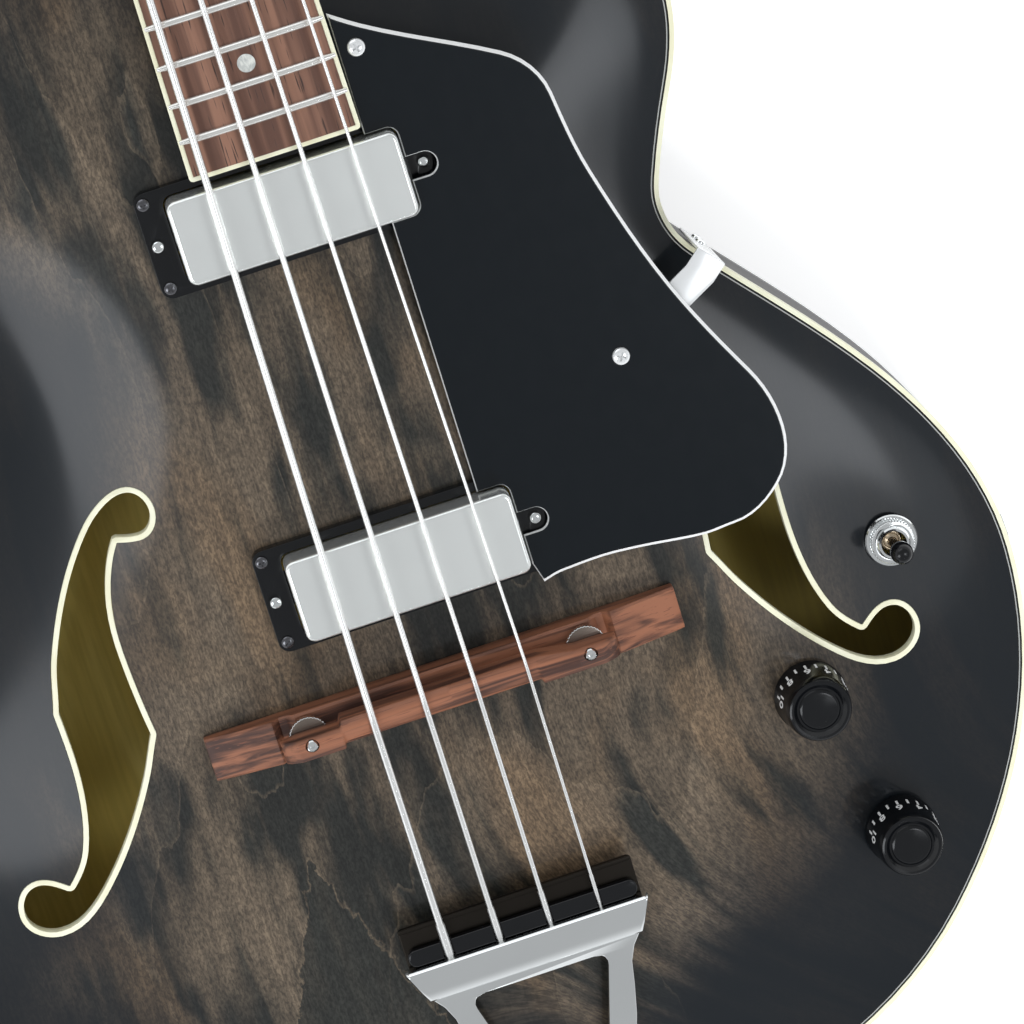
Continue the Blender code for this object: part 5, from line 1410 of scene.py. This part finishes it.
def build_tailpiece():
    hinge = Vector((0, TAIL_Y - 0.0046, 0.0560))
    depth = 0.0140
    bar_y, bar_z = -0.1010, 0.0780 - 0.0030
    run = bar_y - hinge.y
    slope = math.atan2(bar_z - hinge.z, run)
    place = Matrix.Translation(hinge) @ spun(slope, "X")
    far = run / math.cos(slope) - depth / 2
    sheet = 0.0025
    window = far - 0.0050
    outer_side = [
        (0.0136, 0.0), (0.0139, 0.0130), (0.0184, 0.0300), (0.0230, 0.0460), (0.0284, 0.0657),
        (0.0308, 0.0780), (0.0322, 0.0870), (0.0345, far - 0.0055), (0.0370, far - 0.0020), (0.0386, far),
    ]
    inner_side = [
        (0.0205, window), (0.0222, window - 0.0004), (0.0235, window - 0.0015), (0.0240, window - 0.0030),
        (0.0238, window - 0.0050), (0.0189, 0.0687), (0.0066, 0.0190), (0.0069, 0.0),
    ]
    right = inner_side + outer_side
    left = [(-x, y) for x, y in reversed(right)]
    trapeze = rounded(slab([left + right], -sheet / 2, sheet / 2), 0.0005, 2, 50)
    knuckle = turned(((0.0017, -0.00375), (0.0030, -0.00375), (0.0032, -0.0033), (0.0032, 0.0033),
                      (0.0030, 0.00375), (0.0017, 0.00375)), 32)
    knuckles = [placed(knuckle.copy(), at(side * 0.01025, 0) @ SIDEWAYS) for side in (-1, 1)]
    trapeze = placed(shaded(joined([trapeze, *knuckles])), place)
    add("tailpiece_trapeze", trapeze, CHROME, solid="tailpiece")

    half = 0.0440
    low = 0.0008
    profile = ((0.0, low), (0.0, 0.0036), (0.0012, 0.0049), (0.0050, 0.0058), (depth - 0.0022, 0.0060),
               (depth - 0.0006, 0.0056), (depth, 0.0046), (depth, low))
    sections = []
    for share in (-1.0, -0.985, -0.96, -0.5, 0.0, 0.5, 0.96, 0.985, 1.0):
        drop = 0.0012 if abs(share) == 1.0 else 0.0
        section = []
        for y, z in profile:
            width = half - 0.0055 * (1 - y / depth)
            section.append((share * width, far + y, max(low, z - drop)))
        sections.append(section)
    cover = shaded(rounded(lofted(sections), 0.0003, 2, 40), 25)
    add("tailpiece_cover", placed(cover, place), CHROME)

    # Painted shade: the shelf and its lip in front of the cover take a dark metal that stands for the shadow
    # and dark reflections the chrome shows there.
    shelf = slab([rounded_rectangle(0.0840, 0.0190, 0.0015, 0, -0.0900)], 0.0742, 0.0762, 0.0005)
    add("string_shelf", shaded(shelf), DARK_METAL_AND_SHADE)
    edge = slab([rounded_rectangle(0.0840, 0.0016, 0.0007, 0, -0.0813)], 0.0763, 0.0770, 0.0002)
    add("string_shelf_lip", shaded(edge), DARK_METAL_AND_SHADE)
    slots = []
    for index, (_, diameter) in enumerate(STRINGS):
        x = (index - 1.5) * SADDLE_SPACING
        slots.append(box((x - diameter * 0.8, -0.100, 0.0764), (x + diameter * 0.8, -0.070, 0.090)))
    block = slab([rounded_rectangle(0.0825, 0.0064, 0.0030, 0, -0.0912)], 0.0763, 0.0792, 0.0008)
    add("string_block", shaded(cut(block, slots)), BLACK)

    node = "tail_bracket"
    bracket = shaded(rounded(cad_copy(node), 0.0003, 2, 40), 30)
    add("hinge_bracket", bracket, CHROME, solid=node)
    face_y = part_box(node)[1].y - 0.0018
    corners = [(x, z) for z in (0.0165, 0.0440) for x in (-0.0125, 0.0125)]
    screws = [at(x, face_y, z) @ spun(math.pi / 2, "X") for x, z in corners]
    set_out("hinge_bracket_screws", SCREW_HEAD, screws, CHROME, scale=0.0025)


# Controls

def build_knobs():
    knob_height = 0.0185
    base, barrel = 0.0127, 0.0108
    first_turn, turn_between, marks = 157, 17.3, 11
    tick_share, digit_share, digit_height = 0.30, 0.60, 0.0038
    for name, x, y in KNOBS:
        node = name + "_knob"
        foot, high = (corner.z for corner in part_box(node))
        low = high - knob_height
        profile = (
            (0, foot), (0.0027, foot), (0.0027, low + 0.004), (0.0070, low + 0.004), (0.0070, low),
            (base - 0.0003, low), (base, low + 0.0003), (base, low + 0.0012), (base - 0.0003, low + 0.0018),
            (barrel + 0.0007, high - 0.0040), (barrel + 0.0003, high - 0.0012),
            (barrel - 0.0002, high - 0.0003), (barrel - 0.0008, high), (barrel - 0.0016, high - 0.0001),
            (barrel - 0.0024, high - 0.0010), (barrel - 0.0029, high - 0.0015), (0.0072, high - 0.0015),
            (0.0066, high - 0.0010), (0.0058, high - 0.0008), (0, high - 0.0008))
        knob = shaded(shifted(turned(profile, 72), x, y, 0), 28)
        add(name + "_speed_knob", knob, BLACK, body=node, solid=node)
        wall_low = Vector((base - 0.0003, 0, low + 0.0018))
        wall_high = Vector((barrel + 0.0007, 0, high - 0.0040))
        lean = math.atan2(wall_low.x - wall_high.x, wall_high.z - wall_low.z)
        tick = box((-0.0004, -0.0016, 0), (0.0004, 0.0016, 0.00010))
        ticks = []
        numbers = []
        for step in range(marks):
            turn = math.radians(first_turn - turn_between * step)
            ticks.append(dial_place(x, y, turn, wall_low.lerp(wall_high, tick_share), lean))
            if step % 2 == 0:
                place = dial_place(x, y, turn, wall_low.lerp(wall_high, digit_share), lean)
                numbers.append(placed(digit_mesh(str(marks - 1 - step), digit_height), place))
        set_out(name + "_dial_ticks", tick, ticks, WHITE, body=node)
        add(name + "_dial_numbers", joined(numbers), WHITE, body=node)


def dial_place(x, y, turn, point, lean):
    """Where a mark lies on a knob's sloping wall, with its top towards the knob's top."""
    proud = 0.00003
    stand = spun(math.pi / 2 - lean, "Y") @ spun(math.pi / 2, "Z")
    return at(x, y) @ spun(turn, "Z") @ at(point.x + proud, 0, point.z) @ stand


def digit_mesh(text, height):
    curve = bpy.data.curves.new("digit", "FONT")
    curve.body = text
    curve.size = height * 1.35
    curve.extrude = 0.00005
    curve.offset = 0.02 * height
    curve.align_x = "CENTER"
    curve.align_y = "CENTER"
    return evaluated(curve)


def build_switch():
    node = "switch_body"
    low, high = (corner.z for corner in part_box(node))
    deck = high - 0.0052
    washer_top = deck + 0.0011
    bore = 0.0045
    washer = turned(((0.0060, deck), (0.0092, deck), (0.0092, deck + 0.0006), (0.0088, washer_top),
                     (0.0060, washer_top)), 64)
    nut = slab([toothed(0.0077, 0.0075, 48), circle(0.0055, 40)], washer_top, deck + 0.0038, 0.0005)
    bushing = turned(((bore, low + 0.010), (0.0058, low + 0.010), (0.0058, deck + 0.0046), (0.0053, high),
                      (bore, high)), 48)
    case_top = low + 0.0135
    case = turned(((bore, low), (0.0085, low), (0.0085, case_top), (0.0058, case_top), (bore, case_top)), 48)
    metal = shifted(joined([washer, nut, bushing, case]), SWITCH_X, SWITCH_Y, 0)
    add("switch_bushing", shaded(metal, 28), CHROME, solid=node)

    node = "switch_lever"
    spot = (SWITCH_X, SWITCH_Y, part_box(node)[0].z + 0.008)
    ball = [(0.0042 * math.cos(turn), 0.0042 * math.sin(turn)) for turn in np.linspace(-1.15, 1.15, 13)]
    stem = turned(((0, -0.008), (0.0016, -0.008), *ball, (0.0017, 0.0060), (0.0014, 0.0150),
                   (0, 0.0150)), 32)
    tip = turned(((0, 0.0138), (0.0018, 0.0138), (0.0030, 0.0150), (0.0037, 0.0172), (0.0039, 0.0192),
                  (0.0036, 0.0212), (0.0028, 0.0226), (0.0016, 0.0234), (0, 0.0236)), 40)
    add("switch_stem", shifted(shaded(stem), *spot), BRASS, body=node, solid=node)
    add("switch_tip", shifted(shaded(tip), *spot), BLACK, body=node)


def build_side_fittings():
    inner = -RIM_THICKNESS - 0.0016
    barrel = turned(((0.0034, -0.024), (0.0072, -0.024), (0.0072, inner), (0.0055, inner), (0.0055, 0.0026),
                     (0.0050, 0.0029), (0.0034, 0.0029)), 48)
    washer = turned(((0.0056, 0.0002), (0.0110, 0.0002), (0.0110, 0.0009), (0.0104, 0.0014),
                     (0.0056, 0.0014)), 64)
    nut = slab([circle(0.0078, 6), circle(0.0056, 36)], 0.0012, 0.0026, 0.0003)
    jack = placed(shaded(joined([barrel, washer, nut]), 28), JACK_PLACE)
    add("jack_fitting", jack, CHROME, solid="output_jack")

    length = 0.0140
    profile = ((0, -0.0155), (0.0008, -0.0155), (0.0017, -0.013), (0.0017, 0.0002), (0.0060, 0.0002),
               (0.0064, 0.0006), (0.0060, 0.0013), (0.0047, 0.0032), (0.0044, 0.0060), (0.0048, 0.0092),
               (0.0072, 0.0118), (0.0075, 0.0126), (0.0074, 0.0136), (0.0070, length), (0.0032, length),
               (0.0030, 0.0137), (0, 0.0137))
    tail_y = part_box("end_strap_button")[0].y + length
    shoulder_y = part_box("shoulder_strap_button")[1].y - length
    spots = (
        ("tail_button", "end_strap_button", (0, tail_y), math.pi / 2),
        ("shoulder_button", "shoulder_strap_button", (-0.0395, shoulder_y), -math.pi / 2),
    )
    for name, node, (x, y), turn in spots:
        where = at(x, y, SIDE_FITTING_Z) @ spun(turn, "X")
        add(name, placed(shaded(turned(profile, 56), 28), where), CHROME, solid=node)
        felt = sleeve(0.0019, 0.0068, -0.0002, 0.0001, 40)
        add(name + "_felt", placed(felt, where), BLACK)


# Tuners

def build_tuners():
    number = 0
    for side in (-1, 1):
        for row in TUNER_ROWS:
            number += 1
            build_tuner(str(number), side, row)


def build_tuner(number, side, row):
    plate_top = -GAP - HEAD_THICKNESS - GAP
    plate_low = plate_top - 0.0015
    gear_high = plate_low - GAP
    gear_low = gear_high - 0.005
    gear_radius, worm_radius = 0.0080, 0.0030
    spot = HEAD @ at(side * TUNER_POST_X, row)

    outline = rounded_rectangle(0.021, 0.038, 0.004, 0, -0.004)
    plate = slab([outline, circle(0.0050, 28)], plate_low, plate_top, 0.0004)
    bush = turned(((0.0048, plate_low), (0.0062, plate_low), (0.0062, 0.0001), (0.0085, 0.0001),
                   (0.0085, 0.0009), (0.0070, 0.0017), (0.0048, 0.0018)), 40)
    arms = []
    for x in (-0.0085, 0.0070):
        arms.append(box((x, -0.0150 - 0.0012, gear_low - 0.0002), (x + 0.0015, -0.0075, plate_low)))
    base = placed(shaded(joined([plate, bush, *arms]), 30), spot)
    add("tuner_base_" + number, base, CHROME, solid="tuner_plate_" + number)
    corners = [(x, y) for y in (0.0120, -0.0200) for x in (-0.0075, 0.0075)]
    screws = [spot @ at(x, y, plate_low) @ spun(math.pi, "X") for x, y in corners]
    set_out("tuner_screws_" + number, SCREW_HEAD, screws, CHROME, scale=0.0018)

    gear = slab([toothed(gear_radius, gear_radius - 0.0007, 28, 4)], gear_low, gear_high)
    post = turned(((0, gear_low), (0.0045, gear_low), (0.0045, 0.0030), (0.0036, 0.0042), (0.0036, 0.0165),
                   (0.0045, 0.0178), (0.0045, 0.0192), (0.0040, 0.0200), (0, 0.0200)), 32)
    post = cut(post, [box((-0.0009, -0.0060, 0.0135), (0.0009, 0.0060, 0.0250))])
    post = placed(shaded(joined([gear, post]), 30), spot)
    node = "tuner_post_" + number
    add("slotted_post_" + number, post, CHROME, body=node, solid=node)

    worm_z = (gear_high + gear_low) / 2 - 0.0005
    worm_y = row - gear_radius - worm_radius - GAP
    at_key = HEAD @ at(side * TUNER_POST_X, worm_y, worm_z) @ spun(side * math.pi / 2, "Y")
    key_start = 0.041 + 0.006 - TUNER_POST_X
    shaft_end = key_start + 0.0010
    worm = turned(worm_profile(worm_radius), 24)
    shaft = turned(((0, 0.0085), (0.0018, 0.0085), (0.0018, key_start - 0.003), (0.0028, key_start - 0.002),
                    (0.0028, shaft_end), (0, shaft_end)), 24)
    key = placed(shaded(joined([worm, shaft, key_blade(key_start)]), 35), at_key)
    node = "tuner_key_" + number
    add("tuner_button_" + number, key, CHROME, body=node, solid=node)


def worm_profile(radius):
    """Ridges along the worm."""
    root = 0.0024
    start = -0.008
    ridges = 9
    pitch = 0.0017
    profile = [(0, start)]
    for index in range(ridges):
        low = start + index * pitch
        profile += [(root, low), (radius, low + pitch * 0.35), (radius, low + pitch * 0.6),
                    (root, low + pitch * 0.95)]
    profile.append((0, start + ridges * pitch))
    return profile


def key_blade(start):
    """A flat, rounded blade that the fingers turn."""
    outline = [(0.0, 0.0026), (0.0035, 0.0030), (0.0055, 0.0070), (0.0090, 0.0108), (0.0135, 0.0118),
               (0.0175, 0.0096), (0.0197, 0.0050), (0.0200, 0.0)]
    line = outline + [(x, -y) for x, y in reversed(outline[:-1])]
    half_thickness = 0.0014
    blade = slab([line[::-1]], -half_thickness, half_thickness, 0.0009)
    blade = evaluated(blade, ("SUBSURF", {"levels": 1, "render_levels": 1}))
    stand = spun(-math.pi / 2, "Y")
    return placed(blade, at(0, 0, start) @ stand)


# Solids that stay as they are

def dress_solids():
    finishes = {
        BARE: ("top_lining", "back_lining", "neck_block", "tail_block", "tone_bar_bass", "tone_bar_treble"),
        NICKEL: ("truss_rod", "volume_potentiometer", "tone_potentiometer"),
        DARK_METAL_AND_SHADE: ("neck_pickup_coil", "bridge_pickup_coil"),
    }
    for finish, names in finishes.items():
        for name in names:
            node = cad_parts[name]
            node.data.materials.clear()
            node.data.materials.append(finish)


# Studio

FLOOR_REACH = 12.0
FLOOR_DROP = 0.0005
FLOOR_GREY = 0.80
FLOOR_GLOW = 0.62
SKY = (0.96, 0.98, 1.0, 1)
SKY_RISE = {"From Min": 0.30, "From Max": 0.55, "To Min": 0.95, "To Max": 0.47}
LAMP_COLOUR = (0.93, 0.96, 1.0)
LAMPS = (
    ("key_light", (0.35, -1.25, 1.45), (0, 0.05, 0.05), (0.55, 0.45), 19),
    ("right_light", (0.80, -0.22, 1.5), (0.1, 0.05, 0.05), (0.68, 0.55), 1.15),
    ("horn_light", (0.62, -0.10, 1.5), (0.1, 0.15, 0.05), (0.28, 0.36), 1.25),
    ("left_light", (-1.15, -0.25, 1.5), (-0.1, 0.05, 0.05), (0.7, 0.9), 8),
    ("head_light", (-0.4, 1.9, 1.3), (0, 0.05, 0.05), (1.8, 0.8), 5),
)
LENS = 150
SENSOR_WIDTH = 36
CAMERA_PLACE = (-0.025672, 0.434704, 1.449488)
CAMERA_RIGHT = Vector((0.94934325, -0.28808199, 0.12552353))
CAMERA_UP = Vector((0.31099088, 0.91861556, -0.24378293))
CAMERA_BACK = Vector((-0.04507839, 0.27047035, 0.96167236))


def pale_floor():
    """Matte grey that the camera and polished pieces see as nearly white."""
    material = bpy.data.materials.new("pale_floor")
    material.use_nodes = True
    material.node_tree.nodes.clear()
    kinds = {
        "output": ("ShaderNodeOutputMaterial", {}),
        "total": ("ShaderNodeAddShader", {}),
        "matte": ("ShaderNodeBsdfDiffuse", {}),
        "glow": ("ShaderNodeEmission", {}),
        "rays": ("ShaderNodeLightPath", {}),
        "seen": ("ShaderNodeMath", {"operation": "MAXIMUM"}),
        "also": ("ShaderNodeMath", {"operation": "MAXIMUM"}),
        "level": ("ShaderNodeMath", {"operation": "MULTIPLY"}),
    }
    joins = (
        ("rays", "Is Camera Ray", "seen", 0),
        ("rays", "Is Glossy Ray", "seen", 1),
        ("seen", 0, "also", 0),
        ("rays", "Is Transmission Ray", "also", 1),
        ("also", 0, "level", 0),
        ("level", 0, "glow", "Strength"),
        ("matte", 0, "total", 0),
        ("glow", 0, "total", 1),
        ("total", 0, "output", "Surface"),
    )
    nodes = wired(material.node_tree, kinds, joins)
    nodes["matte"].inputs["Color"].default_value = (FLOOR_GREY, FLOOR_GREY, FLOOR_GREY, 1)
    nodes["level"].inputs[1].default_value = FLOOR_GLOW
    return material


def build_floor():
    bm = bmesh.new()
    bmesh.ops.create_grid(bm, x_segments=1, y_segments=1, size=FLOOR_REACH)
    mesh = bpy.data.meshes.new("floor")
    bm.to_mesh(mesh)
    bm.free()
    mesh.materials.append(pale_floor())
    floor = held("floor", mesh)
    floor.location.z = -FLOOR_DROP


def build_sky():
    """An even pale light, weaker overhead."""
    world = bpy.data.worlds.new("studio")
    world.use_nodes = True
    light = world.node_tree.nodes["Background"]
    light.inputs["Color"].default_value = SKY
    kinds = {
        "direction": ("ShaderNodeTexCoord", {}),
        "parts": ("ShaderNodeSeparateXYZ", {}),
        "height": ("ShaderNodeMapRange", {"interpolation_type": "SMOOTHSTEP"}),
    }
    joins = (("direction", "Object", "parts", 0), ("parts", 2, "height", "Value"))
    height = wired(world.node_tree, kinds, joins)["height"]
    for name, value in SKY_RISE.items():
        height.inputs[name].default_value = value
    world.node_tree.links.new(height.outputs["Result"], light.inputs["Strength"])
    bpy.context.scene.world = world


def build_lamps():
    for name, place, aim, size, power in LAMPS:
        lamp = bpy.data.lights.new(name, "AREA")
        lamp.shape = "RECTANGLE"
        lamp.size, lamp.size_y = size
        lamp.energy = power
        lamp.color = LAMP_COLOUR
        holder = held(name, lamp)
        holder.location = place
        holder.visible_glossy = name != "key_light"
        holder.rotation_euler = (Vector(aim) - Vector(place)).to_track_quat("-Z", "Y").to_euler()


def build_camera():
    camera = bpy.data.cameras.new("camera")
    camera.lens = LENS
    camera.sensor_width = SENSOR_WIDTH
    camera.clip_end = 100
    holder = held("camera", camera)
    turn = Matrix((CAMERA_RIGHT, CAMERA_UP, CAMERA_BACK)).transposed().to_4x4()
    holder.matrix_world = at(*CAMERA_PLACE) @ turn
    bpy.context.scene.camera = holder
    bpy.context.scene.view_settings.view_transform = "Standard"


build_floor()
build_sky()
build_lamps()
build_camera()
build_body()
build_neck()
build_strings()
build_pickups()
build_guard()
build_bridge()
build_tailpiece()
build_knobs()
build_switch()
build_side_fittings()
build_tuners()
dress_solids()
